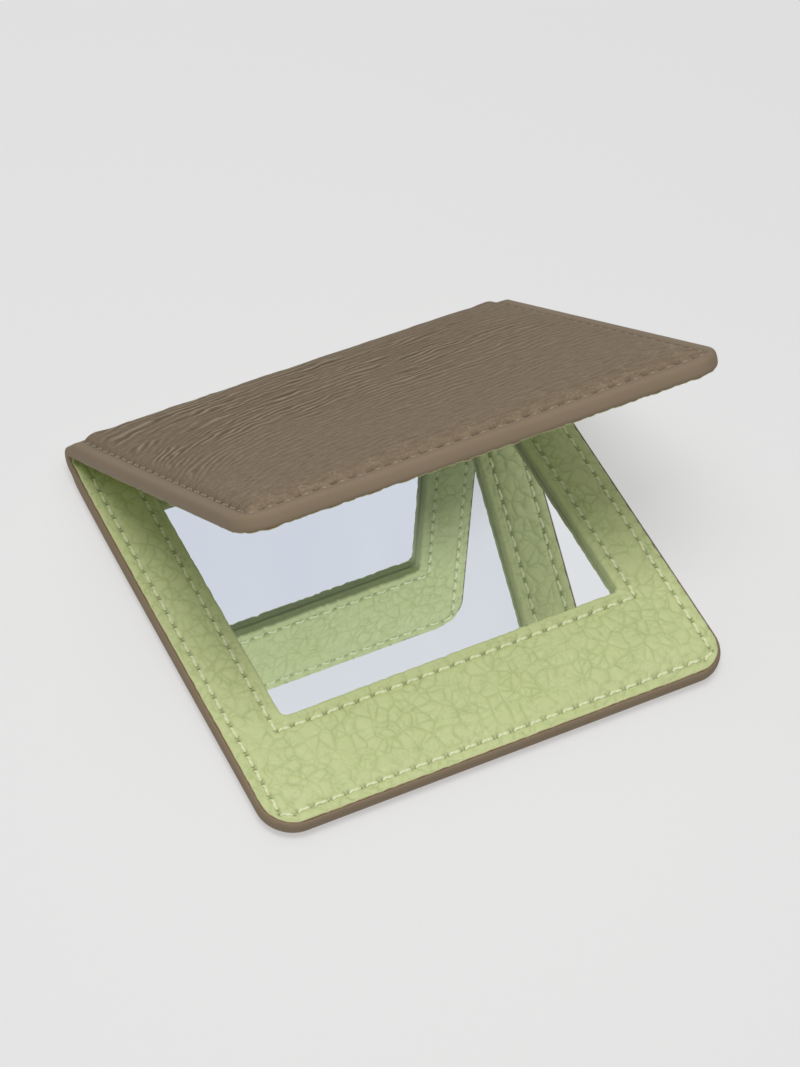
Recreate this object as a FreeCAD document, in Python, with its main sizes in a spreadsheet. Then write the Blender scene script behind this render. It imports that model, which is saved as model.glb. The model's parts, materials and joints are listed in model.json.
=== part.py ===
import FreeCAD
import Part
import Sketcher
import os

# A folding pocket mirror in leather. Two sewn panels, the base and the lid, each hold a mirror
# behind a leather frame. One strip of leather bends round the fold and joins them.
#
# Both panels are drawn in the same panel frame: x runs along the fold, y is 0 at the hinge line
# and falls towards the free edge, and z rises from the outer leather to the lining. Each panel's
# placement then carries it to where it lies or leans. In the finished part +Z is up, +X runs
# along the fold and the free edges look towards -Y.

# Driving sizes in millimetres and degrees: alias, value and what it measures.
SIZES = [
    ("panel_width", 86.0, "panel along the fold, over the rounded rims"),
    ("panel_reach", 80.0, "hinge line to the outermost free edge"),
    ("corner_radius", 6.5, "free corners of a panel, at the rim"),
    ("least_round", 0.6, "smallest radius left on an inner layer's corner"),
    ("rest_angle", 41.4, "angle between the two panels as the part stands"),
    ("fold_clearance", 0.6, "hinge line above each panel's lining"),
    ("fold_gap", 0.2, "end of each panel short of the hinge line"),
    ("fit_gap", 0.1, "play between layers that slip into each other"),
    ("leather_thickness", 0.9, "outer leather"),
    ("edge_wall", 0.8, "outer leather, pared where it turns up round the rim"),
    ("lip_drop", 0.1, "top of the turned rim below the lining's face"),
    ("rim_round", 1.1, "lower outer edge of the rim"),
    ("lip_round", 0.6, "upper outer edge of the rim"),
    ("plateau_ease", 0.2, "stitches to the raised middle of the outer leather"),
    ("plateau_round", 1.0, "edge of the raised middle"),
    ("welt_thickness", 0.4, "filler strip sewn into the rim"),
    ("board_thickness", 0.5, "backing board behind the mirror"),
    ("tape_thickness", 0.2, "adhesive sheet between board and mirror"),
    ("tape_margin", 2.5, "edge of the adhesive inside the mirror's edge"),
    ("mirror_thickness", 1.1, "silvered glass"),
    ("mirror_bevel", 0.2, "ground edges of the glass"),
    ("mirror_overlap", 3.0, "glass hidden behind the frame on each side"),
    ("card_thickness", 0.9, "card frame that the lining is wrapped over"),
    ("lining_thickness", 0.9, "lining leather"),
    ("lining_round", 0.3, "outer edge of the lining's face"),
    ("lip_thickness", 0.7, "lining where it turns down into the window"),
    ("stiffener_setback", 3.0, "stiff inner layers short of the hinge line"),
    ("side_margin", 11.4, "outermost side edge to the window"),
    ("front_margin", 20.3, "outermost free edge to the window"),
    ("fold_margin", 10.4, "hinge line to the window"),
    ("window_round", 1.2, "corners of the window"),
    ("window_edge_round", 0.5, "upper edge of the window"),
    ("magnet_diameter", 6.0, "closing discs hidden in the front margin"),
    ("magnet_spacing", 44.0, "between the two discs of a panel"),
    ("stitch_pitch", 3.0, "one stitch to the next"),
    ("stitch_length", 2.3, "thread showing in one stitch"),
    ("stitch_width", 0.6, "thread laid flat on the leather"),
    ("stitch_height", 0.25, "thread standing out of the leather"),
    ("stitch_inset", 2.0, "rim seam inside the lining's edge"),
    ("seam_round", 1.8, "free corners of the rim seam"),
    ("stitch_start", 3.5, "first stitch of the rim seam from the hinge line"),
    ("window_seam_offset", 2.2, "window seam outside the window"),
    ("reinforcement_thickness", 0.4, "tape glued inside the spine leather"),
]

# Heights in a panel, from the outer leather's face upwards.
MIRROR_BED = "(Sizes.leather_thickness + Sizes.board_thickness)"
MIRROR_BACK = f"({MIRROR_BED} + Sizes.tape_thickness)"
MIRROR_FACE = f"({MIRROR_BACK} + Sizes.mirror_thickness)"
LINING_FLOOR = f"({MIRROR_FACE} + Sizes.card_thickness)"
LINING_FACE = f"({LINING_FLOOR} + Sizes.lining_thickness)"
RIM_FLOOR = f"({MIRROR_FACE} - Sizes.welt_thickness)"
RIM_UNDERSIDE = f"({RIM_FLOOR} - Sizes.leather_thickness)"
RIM_TOP = f"({LINING_FACE} - Sizes.lip_drop)"
RIM_ROUND = f"min(Sizes.rim_round; 0.6 * ({RIM_TOP} - {RIM_UNDERSIDE}))"
LIP_ROUND = "min(Sizes.lip_round; 0.8 * Sizes.edge_wall)"
PLATEAU_ROUND = f"min(Sizes.plateau_round; 0.8 * {RIM_UNDERSIDE})"

# Insets from a panel's outermost edge.
LINING_INSET = "(Sizes.edge_wall + Sizes.fit_gap)"
SEAM_INSET = f"({LINING_INSET} + Sizes.stitch_inset)"
PLATEAU_INSET = f"({SEAM_INSET} + Sizes.stitch_width / 2 + Sizes.plateau_ease)"
CORE_INSET = f"({PLATEAU_INSET} + Sizes.leather_thickness)"
STIFFENER_INSET = f"({CORE_INSET} + Sizes.fit_gap)"

# Distances from the hinge line towards the free edge, and from the panel's middle to its sides.
WINDOW_HALF = "(Sizes.panel_width / 2 - Sizes.side_margin)"
WINDOW_FAR = "(Sizes.panel_reach - Sizes.front_margin)"
PAST_THE_END = "(-Sizes.fold_gap)"
STIFFENER_FAR = f"(Sizes.panel_reach - {STIFFENER_INSET})"
DISC_REACH = f"(({STIFFENER_FAR} + {WINDOW_FAR} + Sizes.mirror_overlap) / 2)"
DISC_THICKNESS = f"({MIRROR_FACE} - {MIRROR_BED} - Sizes.fit_gap)"

# The fold. The spine leather turns about the hinge line at the outer leather's distance from it.
SPINE_RADIUS = f"({LINING_FACE} + Sizes.fold_clearance)"
HINGE_Y = f"((Sizes.panel_reach - {SPINE_RADIUS}) / 2)"
LEVEL = "rotation(vector(0; 0; 1); 0)"
BASE_PLACE = f"placement(vector(0; {HINGE_Y}; 0); {LEVEL})"
SPINE_PLACE = f"placement(vector(0; {HINGE_Y}; {SPINE_RADIUS}); {LEVEL})"
# The lid is the base turned half round about the line that halves the angle beyond the fold.
HALF_TURN = "rotation(vector(0; -cos(Sizes.rest_angle / 2); sin(Sizes.rest_angle / 2)); 180)"
LID_Y = f"{HINGE_Y} + {SPINE_RADIUS} * sin(Sizes.rest_angle)"
LID_Z = f"{SPINE_RADIUS} * (1 + cos(Sizes.rest_angle))"
LID_PLACE = f"placement(vector(0; {LID_Y}; {LID_Z}); {HALF_TURN})"

NEAR_ZERO = 1e-6

doc = FreeCAD.newDocument("folding_mirror")
sheet = doc.addObject("Spreadsheet::Sheet", "Sizes")
for row, (alias, number, meaning) in enumerate(SIZES, start=1):
    sheet.set(f"A{row}", meaning)
    sheet.set(f"B{row}", str(number))
    sheet.setAlias(f"B{row}", alias)
doc.recompute()

nodes = []


def value(expression):
    """The number that an expression on the sheet comes to."""
    return float(sheet.evalExpression(expression))


def keep(piece, name, place):
    """Name a finished piece, bind its placement and list it as a node of the part."""
    piece.Label = name
    piece.setExpression("Placement", place)
    nodes.append(piece)


def new_body(name, place):
    body = doc.addObject("PartDesign::Body", name)
    keep(body, name, place)
    return body


def new_sketch(body, name, height="0", role="XY_Plane"):
    """A sketch on one of the body's own planes, raised to a height."""
    sketch = body.newObject("Sketcher::SketchObject", f"{body.Name}_{name}")
    plane = next(feature for feature in body.Origin.OriginFeatures if feature.Role == role)
    sketch.AttachmentSupport = [(plane, "")]
    sketch.MapMode = "FlatFace"
    sketch.setExpression("AttachmentOffset.Base.z", height)
    return sketch


def bind(sketch, constraint, expression):
    index = sketch.addConstraint(constraint)
    sketch.setExpression(f"Constraints[{index}]", expression)


def add_loop(sketch, corners, rounds):
    """A closed loop of upright and level lines through the corners, rounded where rounds says."""
    places = [FreeCAD.Vector(value(x), value(y), 0) for x, y in corners]
    count = len(places)
    radii = [value(rounds[i]) if i in rounds else 0.0 for i in range(count)]
    steps = [(places[(i + 1) % count] - places[i]).normalize() for i in range(count)]
    lines = []
    for i in range(count):
        after = (i + 1) % count
        start = places[i] + steps[i] * radii[i]
        end = places[after] - steps[i] * radii[after]
        lines.append(sketch.addGeometry(Part.LineSegment(start, end)))
        upright = abs(steps[i].x) < NEAR_ZERO
        sketch.addConstraint(Sketcher.Constraint("Vertical" if upright else "Horizontal", lines[i]))
        kind, coordinate = ("DistanceX", 0) if upright else ("DistanceY", 1)
        held = Sketcher.Constraint(kind, -1, 1, lines[i], 1, places[i][coordinate])
        bind(sketch, held, corners[i][coordinate])
    for i in range(count):
        before = lines[i - 1]
        if i not in rounds:
            sketch.addConstraint(Sketcher.Constraint("Coincident", before, 2, lines[i], 1))
            continue
        enters = places[i] - steps[i - 1] * radii[i]
        leaves = places[i] + steps[i] * radii[i]
        centre = enters + steps[i] * radii[i]
        middle = centre + (places[i] - centre).normalize() * radii[i]
        arc = sketch.addGeometry(Part.Arc(enters, middle, leaves))
        forward = sketch.getPoint(arc, 1).distanceToPoint(enters) < radii[i] / 2
        first, last = (1, 2) if forward else (2, 1)
        sketch.addConstraint(Sketcher.Constraint("Tangent", before, 2, arc, first))
        sketch.addConstraint(Sketcher.Constraint("Tangent", arc, last, lines[i], 1))
        bind(sketch, Sketcher.Constraint("Radius", arc, radii[i]), rounds[i])


def panel_loop(sketch, inset, near):
    """A panel's outline drawn in by an inset, from near the hinge line to its rounded free end."""
    half = f"(Sizes.panel_width / 2 - {inset})"
    far = f"(Sizes.panel_reach - {inset})"
    corner = f"max(Sizes.corner_radius - {inset}; Sizes.least_round)"
    corners = [
        (f"-{half}", f"-{near}"),
        (f"-{half}", f"-{far}"),
        (half, f"-{far}"),
        (half, f"-{near}"),
    ]
    add_loop(sketch, corners, {1: corner, 2: corner})


def window_loop(sketch, growth="0"):
    """The window's outline, grown evenly on all four sides."""
    half = f"({WINDOW_HALF} + {growth})"
    near = f"(Sizes.fold_margin - {growth})"
    far = f"({WINDOW_FAR} + {growth})"
    corners = [
        (f"-{half}", f"-{near}"),
        (f"-{half}", f"-{far}"),
        (half, f"-{far}"),
        (half, f"-{near}"),
    ]
    add_loop(sketch, corners, {i: "Sizes.window_round" for i in range(len(corners))})


def add_pad(body, sketch, length):
    pad = body.newObject("PartDesign::Pad", f"{sketch.Name}_pad")
    pad.Profile = sketch
    pad.setExpression("Length", length)
    doc.recompute()
    return pad


def add_pocket(body, sketch, depth):
    """A cut from the sketch downwards, which has to take something away."""
    before = body.Shape.Volume
    pocket = body.newObject("PartDesign::Pocket", f"{sketch.Name}_pocket")
    pocket.Profile = sketch
    pocket.setExpression("Length", depth)
    doc.recompute()
    if body.Shape.Volume > before - NEAR_ZERO:
        raise RuntimeError(f"{pocket.Name} cuts nothing")
    return pocket


def dress_edges(body, kind, name, edges, size_name, size):
    """A fillet or chamfer on the named edges of the body's last feature."""
    if not edges:
        raise RuntimeError(f"{name} finds no edge")
    last = body.Tip
    feature = body.newObject(kind, f"{body.Name}_{name}")
    feature.Base = (last, edges)
    feature.setExpression(size_name, size)
    doc.recompute()


def past_the_end(box):
    """Whether an edge reaches beyond the panel's end at the hinge side."""
    return box.YMin < -value("Sizes.fold_gap") - NEAR_ZERO


def in_window(box):
    """Whether an edge lies on the window's rounded border."""
    half = value(f"{WINDOW_HALF} + Sizes.window_edge_round") + NEAR_ZERO
    far = value(f"{WINDOW_FAR} + Sizes.window_edge_round") + NEAR_ZERO
    return box.XMin > -half and box.XMax < half and box.YMin > -far


def round_the_lining(box):
    """Whether an edge lies on the lining's outer border."""
    return past_the_end(box) and not in_window(box)


def edges_at(feature, height, wanted=past_the_end):
    """Names of the feature's wanted edges that lie flat at one height."""
    level = value(height)
    names = []
    for index, edge in enumerate(feature.Shape.Edges, start=1):
        box = edge.BoundBox
        flat = abs(box.ZMin - level) < NEAR_ZERO and abs(box.ZMax - level) < NEAR_ZERO
        if flat and wanted(box):
            names.append(f"Edge{index}")
    return names


def make_cover(name, place):
    """Outer leather: a raised middle, a lower rim all round the seam, and the turned-up edge."""
    body = new_body(name, place)
    rim = new_sketch(body, "rim", RIM_UNDERSIDE)
    panel_loop(rim, "0", "Sizes.fold_gap")
    pad = add_pad(body, rim, f"{RIM_TOP} - {RIM_UNDERSIDE}")
    lower = edges_at(pad, RIM_UNDERSIDE)
    dress_edges(body, "PartDesign::Fillet", "rim_round", lower, "Radius", RIM_ROUND)
    upper = edges_at(body.Tip, RIM_TOP)
    dress_edges(body, "PartDesign::Fillet", "lip_round", upper, "Radius", LIP_ROUND)
    plateau = new_sketch(body, "plateau")
    panel_loop(plateau, PLATEAU_INSET, "Sizes.fold_gap")
    pad = add_pad(body, plateau, RIM_UNDERSIDE)
    dress_edges(body, "PartDesign::Fillet", "plateau_round", edges_at(pad, "0"), "Radius", PLATEAU_ROUND)
    rim_cavity = new_sketch(body, "rim_cavity", RIM_TOP)
    panel_loop(rim_cavity, "Sizes.edge_wall", PAST_THE_END)
    add_pocket(body, rim_cavity, f"{RIM_TOP} - {RIM_FLOOR}")
    core_cavity = new_sketch(body, "core_cavity", RIM_FLOOR)
    panel_loop(core_cavity, CORE_INSET, PAST_THE_END)
    add_pocket(body, core_cavity, f"{RIM_FLOOR} - Sizes.leather_thickness")


def make_welt(name, place):
    """Filler strip in the rim, on the three sewn sides."""
    body = new_body(name, place)
    sketch = new_sketch(body, "strip", RIM_FLOOR)
    outer_half = f"(Sizes.panel_width / 2 - {LINING_INSET})"
    inner_half = f"(Sizes.panel_width / 2 - {CORE_INSET})"
    outer_far = f"(Sizes.panel_reach - {LINING_INSET})"
    inner_far = f"(Sizes.panel_reach - {CORE_INSET})"
    end = "-Sizes.fold_gap"
    corners = [
        (f"-{outer_half}", end),
        (f"-{outer_half}", f"-{outer_far}"),
        (outer_half, f"-{outer_far}"),
        (outer_half, end),
        (inner_half, end),
        (inner_half, f"-{inner_far}"),
        (f"-{inner_half}", f"-{inner_far}"),
        (f"-{inner_half}", end),
    ]
    outer_round = f"max(Sizes.corner_radius - {LINING_INSET}; Sizes.least_round)"
    inner_round = f"max(Sizes.corner_radius - {CORE_INSET}; Sizes.least_round)"
    add_loop(sketch, corners, {1: outer_round, 2: outer_round, 5: inner_round, 6: inner_round})
    add_pad(body, sketch, "Sizes.welt_thickness")


def make_board(name, place):
    """Stiff sheet laid on the outer leather inside the raised middle."""
    body = new_body(name, place)
    sketch = new_sketch(body, "sheet", "Sizes.leather_thickness")
    panel_loop(sketch, STIFFENER_INSET, "Sizes.stiffener_setback")
    add_pad(body, sketch, "Sizes.board_thickness")


def make_spacer(name, place):
    """Frame as thick as the mirror that fills the space round it and holds the closing discs."""
    body = new_body(name, place)
    frame = new_sketch(body, "frame", MIRROR_BED)
    panel_loop(frame, STIFFENER_INSET, "Sizes.stiffener_setback")
    window_loop(frame, "(Sizes.mirror_overlap + Sizes.fit_gap)")
    add_pad(body, frame, f"{MIRROR_FACE} - {MIRROR_BED}")
    seats = new_sketch(body, "disc_seats", MIRROR_FACE)
    radius = "Sizes.magnet_diameter / 2 + Sizes.fit_gap"
    for side in ("-", ""):
        x, y = f"{side}Sizes.magnet_spacing / 2", f"-{DISC_REACH}"
        centre = FreeCAD.Vector(value(x), value(y), 0)
        circle = seats.addGeometry(Part.Circle(centre, FreeCAD.Vector(0, 0, 1), value(radius)))
        bind(seats, Sketcher.Constraint("DistanceX", -1, 1, circle, 3, centre.x), x)
        bind(seats, Sketcher.Constraint("DistanceY", -1, 1, circle, 3, centre.y), y)
        bind(seats, Sketcher.Constraint("Radius", circle, value(radius)), radius)
    add_pocket(body, seats, f"{MIRROR_FACE} - {MIRROR_BED}")


def make_tape(name, place):
    """Adhesive sheet that holds the mirror to the board."""
    body = new_body(name, place)
    sketch = new_sketch(body, "sheet", MIRROR_BED)
    window_loop(sketch, "(Sizes.mirror_overlap - Sizes.tape_margin)")
    add_pad(body, sketch, "Sizes.tape_thickness")


def make_mirror(name, place):
    """Silvered glass with ground edges, held behind the window's frame."""
    body = new_body(name, place)
    sketch = new_sketch(body, "glass", MIRROR_BACK)
    window_loop(sketch, "Sizes.mirror_overlap")
    pad = add_pad(body, sketch, "Sizes.mirror_thickness")
    edges = edges_at(pad, MIRROR_BACK) + edges_at(pad, MIRROR_FACE)
    dress_edges(body, "PartDesign::Chamfer", "bevel", edges, "Size", "Sizes.mirror_bevel")


def make_card(name, place):
    """Card frame under the lining, which gives the window its straight edge."""
    body = new_body(name, place)
    sketch = new_sketch(body, "frame", MIRROR_FACE)
    panel_loop(sketch, LINING_INSET, "Sizes.stiffener_setback")
    window_loop(sketch, "(Sizes.lip_thickness + Sizes.fit_gap)")
    add_pad(body, sketch, "Sizes.card_thickness")


def make_lining(name, place):
    """Lining leather with the mirror's window, turned down over the card's edge on to the glass."""
    body = new_body(name, place)
    face = new_sketch(body, "face", LINING_FLOOR)
    panel_loop(face, LINING_INSET, "Sizes.fold_gap")
    window_loop(face)
    pad = add_pad(body, face, "Sizes.lining_thickness")
    border = edges_at(pad, LINING_FACE, in_window)
    dress_edges(body, "PartDesign::Fillet", "window_round", border, "Radius", "Sizes.window_edge_round")
    border = edges_at(body.Tip, LINING_FACE, round_the_lining)
    dress_edges(body, "PartDesign::Fillet", "edge_round", border, "Radius", "Sizes.lining_round")
    lip = new_sketch(body, "lip", MIRROR_FACE)
    window_loop(lip, "Sizes.lip_thickness")
    window_loop(lip)
    add_pad(body, lip, "Sizes.card_thickness")


def make_discs(name, place):
    """The two closing discs in the front margin, seated in the spacer on the board."""
    discs = []
    for side, sign in (("left", "-"), ("right", "")):
        disc = doc.addObject("Part::Cylinder", f"{name}_{side}")
        disc.setExpression("Radius", "Sizes.magnet_diameter / 2")
        disc.setExpression("Height", DISC_THICKNESS)
        seat = f"vector({sign}Sizes.magnet_spacing / 2; -{DISC_REACH}; {MIRROR_BED})"
        disc.setExpression("Placement", f"placement({seat}; {LEVEL})")
        discs.append(disc)
    pair = doc.addObject("Part::Fuse", name)
    pair.Base, pair.Tool = discs
    keep(pair, name, place)


def stitch_solid():
    """One stitch along x, flat below and round above, centred on the leather's surface."""
    half_width = value("Sizes.stitch_width / 2")
    crown = FreeCAD.Vector(0, 0, value("Sizes.stitch_height"))
    left = FreeCAD.Vector(0, -half_width, 0)
    right = FreeCAD.Vector(0, half_width, 0)
    section = Part.Wire([Part.Arc(left, crown, right).toShape(), Part.LineSegment(right, left).toShape()])
    length = value("Sizes.stitch_length")
    solid = Part.Face(section).extrude(FreeCAD.Vector(length, 0, 0))
    solid.translate(FreeCAD.Vector(-length / 2, 0, 0))
    return solid


def stitches_along(path, height, upward):
    """Stitches at an even pitch along a wire in the panel, standing up or hanging from a height."""
    pitches = max(1, round(path.Length / value("Sizes.stitch_pitch")))
    spacing = path.Length / pitches
    stitch = stitch_solid()
    if not upward:
        stitch.rotate(FreeCAD.Vector(0, 0, 0), FreeCAD.Vector(1, 0, 0), 180)
    row = []
    for i in range(pitches):
        remaining = (i + 0.5) * spacing
        for edge in path.OrderedEdges:
            if remaining <= edge.Length:
                break
            remaining -= edge.Length
        if edge.Orientation == "Reversed":
            remaining = edge.Length - remaining
        parameter = edge.getParameterByLength(remaining)
        along = edge.tangentAt(parameter)
        turn = FreeCAD.Rotation(FreeCAD.Vector(1, 0, 0), along)
        spot = edge.valueAt(parameter) + FreeCAD.Vector(0, 0, height)
        copy = stitch.copy()
        copy.Placement = FreeCAD.Placement(spot, turn).multiply(copy.Placement)
        row.append(copy)
    return row


def rim_seam_path():
    """The rim seam's line: down one side, round the free end and back up the other side."""
    half = value(f"Sizes.panel_width / 2 - {SEAM_INSET}")
    far = value(f"Sizes.panel_reach - {SEAM_INSET}")
    start = value("Sizes.stitch_start")
    radius = value("Sizes.seam_round")
    slant = radius * (1 - 0.5 ** 0.5)
    point = FreeCAD.Vector

    def corner(side):
        """Quarter circle at one free corner, from the side to the end."""
        upper = point(side * half, -far + radius, 0)
        middle = point(side * (half - slant), -far + slant, 0)
        lower = point(side * (half - radius), -far, 0)
        return upper, middle, lower

    left, right = corner(-1), corner(1)
    edges = [
        Part.LineSegment(point(-half, -start, 0), left[0]),
        Part.Arc(*left),
        Part.LineSegment(left[2], right[2]),
        Part.Arc(*reversed(right)),
        Part.LineSegment(right[0], point(half, -start, 0)),
    ]
    return Part.Wire([edge.toShape() for edge in edges])


def window_seam_sides():
    """The window seam's four straight sides, which meet in square corners."""
    half = value(f"{WINDOW_HALF} + Sizes.window_seam_offset")
    near = -value("Sizes.fold_margin - Sizes.window_seam_offset")
    far = -value(f"{WINDOW_FAR} + Sizes.window_seam_offset")
    corners = [
        FreeCAD.Vector(-half, near, 0),
        FreeCAD.Vector(-half, far, 0),
        FreeCAD.Vector(half, far, 0),
        FreeCAD.Vector(half, near, 0),
    ]
    ends = zip(corners, corners[1:] + corners[:1])
    return [Part.Wire([Part.LineSegment(start, end).toShape()]) for start, end in ends]


def make_stitches(name, place, paths, height, upward):
    """A seam's stitches as one group of separate solids."""
    solids = []
    for path in paths:
        solids.extend(stitches_along(path, value(height), upward))
    seam = doc.addObject("Part::Feature", name)
    seam.Shape = Part.makeCompound(solids)
    keep(seam, name, place)


def make_panel(side, place, discs):
    """All the pieces of one panel, from the outer leather inwards."""
    make_cover(f"{side}_cover", place)
    make_welt(f"{side}_edge_welt", place)
    make_board(f"{side}_backing_board", place)
    make_spacer(f"{side}_mirror_spacer", place)
    make_discs(f"{side}_{discs}", place)
    make_tape(f"{side}_mirror_tape", place)
    make_mirror(f"{side}_mirror", place)
    make_card(f"{side}_lining_card", place)
    make_lining(f"{side}_lining", place)
    seam = [rim_seam_path()]
    make_stitches(f"{side}_cover_stitches", place, seam, RIM_UNDERSIDE, upward=False)
    make_stitches(f"{side}_lining_stitches", place, seam, LINING_FACE, upward=True)
    make_stitches(f"{side}_window_stitches", place, window_seam_sides(), LINING_FACE, upward=True)


def make_bend(name, corners, rounds):
    """A strip that follows a profile along the fold and bends round the hinge line to the lid."""
    body = new_body(name, SPINE_PLACE)
    sketch = new_sketch(body, "profile", role="XZ_Plane")
    add_loop(sketch, corners, rounds)
    bend = body.newObject("PartDesign::Revolution", f"{name}_bend")
    bend.Profile = sketch
    bend.ReferenceAxis = (sketch, ["H_Axis"])
    bend.setExpression("Angle", "180 - Sizes.rest_angle")
    doc.recompute()
    if body.Shape.BoundBox.YMax < value(HINGE_Y):
        bend.Reversed = True
        doc.recompute()


def strip_profile(inset, inner_radius, outer_radius):
    """A plain strip's profile between two distances from the hinge line."""
    half = f"(Sizes.panel_width / 2 - {inset})"
    return [
        (f"-{half}", f"-{inner_radius}"),
        (f"-{half}", f"-{outer_radius}"),
        (half, f"-{outer_radius}"),
        (half, f"-{inner_radius}"),
    ]


def make_spine():
    """The fold: outer leather with the panels' own profile, its reinforcement and the lining's crease."""
    rim_top = "(Sizes.fold_clearance + Sizes.lip_drop)"
    rim_outside = f"({SPINE_RADIUS} - {RIM_UNDERSIDE})"
    rim_inside = f"({SPINE_RADIUS} - {RIM_FLOOR})"
    leather_inside = f"({SPINE_RADIUS} - Sizes.leather_thickness)"
    rim_half = "(Sizes.panel_width / 2)"
    wall_half = "(Sizes.panel_width / 2 - Sizes.edge_wall)"
    plateau_half = f"(Sizes.panel_width / 2 - {PLATEAU_INSET})"
    core_half = f"(Sizes.panel_width / 2 - {CORE_INSET})"
    outer = [
        (rim_half, rim_top),
        (rim_half, rim_outside),
        (plateau_half, rim_outside),
        (plateau_half, SPINE_RADIUS),
    ]
    inner = [
        (wall_half, rim_top),
        (wall_half, rim_inside),
        (core_half, rim_inside),
        (core_half, leather_inside),
    ]
    profile = [(f"-{x}", f"-{radius}") for x, radius in outer]
    profile += [(x, f"-{radius}") for x, radius in reversed(outer)]
    profile += [(x, f"-{radius}") for x, radius in inner]
    profile += [(f"-{x}", f"-{radius}") for x, radius in reversed(inner)]
    rounds = {0: LIP_ROUND, 1: RIM_ROUND, 3: PLATEAU_ROUND, 4: PLATEAU_ROUND, 6: RIM_ROUND, 7: LIP_ROUND}
    make_bend("spine_cover", profile, rounds)
    tape_outside = f"({leather_inside} - Sizes.fit_gap)"
    tape_inside = f"({tape_outside} - Sizes.reinforcement_thickness)"
    make_bend("spine_reinforcement", strip_profile(STIFFENER_INSET, tape_inside, tape_outside), {})
    lining_outside = "(Sizes.fold_clearance + Sizes.lining_thickness)"
    crease = strip_profile(LINING_INSET, "Sizes.fold_clearance", lining_outside)
    make_bend("spine_lining", crease, {})


def check_pieces():
    """Stop if any object failed to build or a node's shape isn't sound."""
    for item in doc.Objects:
        if "Invalid" in item.State or "Error" in item.State:
            raise RuntimeError(f"{item.Name} failed: {item.State}")
    for node in nodes:
        if node.Shape.isNull() or not node.Shape.isValid():
            raise RuntimeError(f"{node.Label} has no sound shape")


make_panel("base", BASE_PLACE, "magnets")
make_panel("lid", LID_PLACE, "keeper_discs")
make_spine()
doc.recompute()
check_pieces()

os.makedirs("parts", exist_ok=True)
for node in nodes:
    node.Shape.exportStep(f"parts/{node.Label}.step")
    print(f"{node.Label}: {len(node.Shape.Solids)} solids, {node.Shape.Volume:.1f} mm3")
print(f"{len(nodes)} nodes, panel {value(LINING_FACE):.2f} mm thick, hinge line at y {value(HINGE_Y):.2f}")
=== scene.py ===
# %% [markdown]
# # A folding leather compact mirror
# Two stiff panels are covered by one soft outer skin that turns over at the fold, and each panel holds a
# mirror behind a sewn frame of lining. The construction model already fixes every size and the axis of the
# fold. It could be rendered as it is, but its skins are plain solids without grain, crease or thread. So
# this lesson keeps the model as a fixed frame and sews new skins round it, one kind of piece at a time.

# %% Load the frame
import json
import math

import bpy
import numpy as np
from mathutils import Matrix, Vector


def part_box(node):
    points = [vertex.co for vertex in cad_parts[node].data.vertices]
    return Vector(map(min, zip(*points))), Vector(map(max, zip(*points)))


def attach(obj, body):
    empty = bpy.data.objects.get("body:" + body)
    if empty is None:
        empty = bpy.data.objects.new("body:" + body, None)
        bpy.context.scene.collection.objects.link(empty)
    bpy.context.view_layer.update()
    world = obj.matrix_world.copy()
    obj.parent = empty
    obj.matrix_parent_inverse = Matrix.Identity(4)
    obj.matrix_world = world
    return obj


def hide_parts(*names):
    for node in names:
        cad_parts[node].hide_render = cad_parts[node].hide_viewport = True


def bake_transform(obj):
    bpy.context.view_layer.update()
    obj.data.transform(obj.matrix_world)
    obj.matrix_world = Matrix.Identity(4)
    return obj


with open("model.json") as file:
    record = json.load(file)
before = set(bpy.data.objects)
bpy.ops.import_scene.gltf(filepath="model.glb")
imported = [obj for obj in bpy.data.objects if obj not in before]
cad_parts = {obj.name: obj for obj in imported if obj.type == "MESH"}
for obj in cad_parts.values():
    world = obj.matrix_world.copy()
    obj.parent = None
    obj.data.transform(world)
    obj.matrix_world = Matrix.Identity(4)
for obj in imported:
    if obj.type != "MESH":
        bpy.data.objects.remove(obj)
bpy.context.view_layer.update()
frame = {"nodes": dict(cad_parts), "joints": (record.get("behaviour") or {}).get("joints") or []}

# %% [markdown]
# ## Sizes that come from the frame
# A leather worker thinks in millimetres on a flat panel: x runs along the fold, y falls from the fold to
# the free edge, and z rises from the outer skin to the lining. Blender thinks in metres in the finished
# object's frame. Both panels are alike, so every piece is drawn once in the flat panel's own millimetres
# and then placed.

# %% The panel's own millimetres
MM = 0.001


def extent(node):
    """Lowest and highest corner of a construction node, in millimetres."""
    low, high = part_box(node)
    return np.array(low) / MM, np.array(high) / MM


fold = frame["joints"][0]
HINGE = np.array(fold["pos_m"]) / MM
STAND = math.radians(-fold["range_deg"][0])
SWEEP = math.pi - STAND

cover_low, cover_high = extent("base_cover")
HALF = cover_high[0]
REACH = HINGE[1] - cover_low[1]
RIM_TOP = cover_high[2]
LINING_FACE = extent("base_lining")[1][2]
MIRROR_FACE = extent("base_mirror")[1][2]
RIM_FACE = extent("base_cover_stitches")[1][2]
print(f"panel {2 * HALF:.1f} x {REACH:.1f} mm, lid open {math.degrees(STAND):.1f} degrees")
print(f"rim face {RIM_FACE:.2f}, rim top {RIM_TOP:.2f}, lining {LINING_FACE:.2f}, mirror {MIRROR_FACE:.2f}")

# %% The window and the seams
CORNER = 6.5
RIM_DEPTH = 1.35
LINING_INSET = 0.9
SEAM_INSET = LINING_INSET + 2.0
SEAM_CORNER = 1.8
MIRROR_OVERLAP = 3.0

mirror_low, mirror_high = extent("base_mirror")
WINDOW_HALF = mirror_high[0] - MIRROR_OVERLAP
WINDOW_NEAR = HINGE[1] - mirror_high[1] + MIRROR_OVERLAP
WINDOW_FAR = HINGE[1] - mirror_low[1] - MIRROR_OVERLAP
print(f"window {2 * WINDOW_HALF:.1f} mm wide, from {WINDOW_NEAR:.1f} to {WINDOW_FAR:.1f} mm off the fold")

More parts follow.
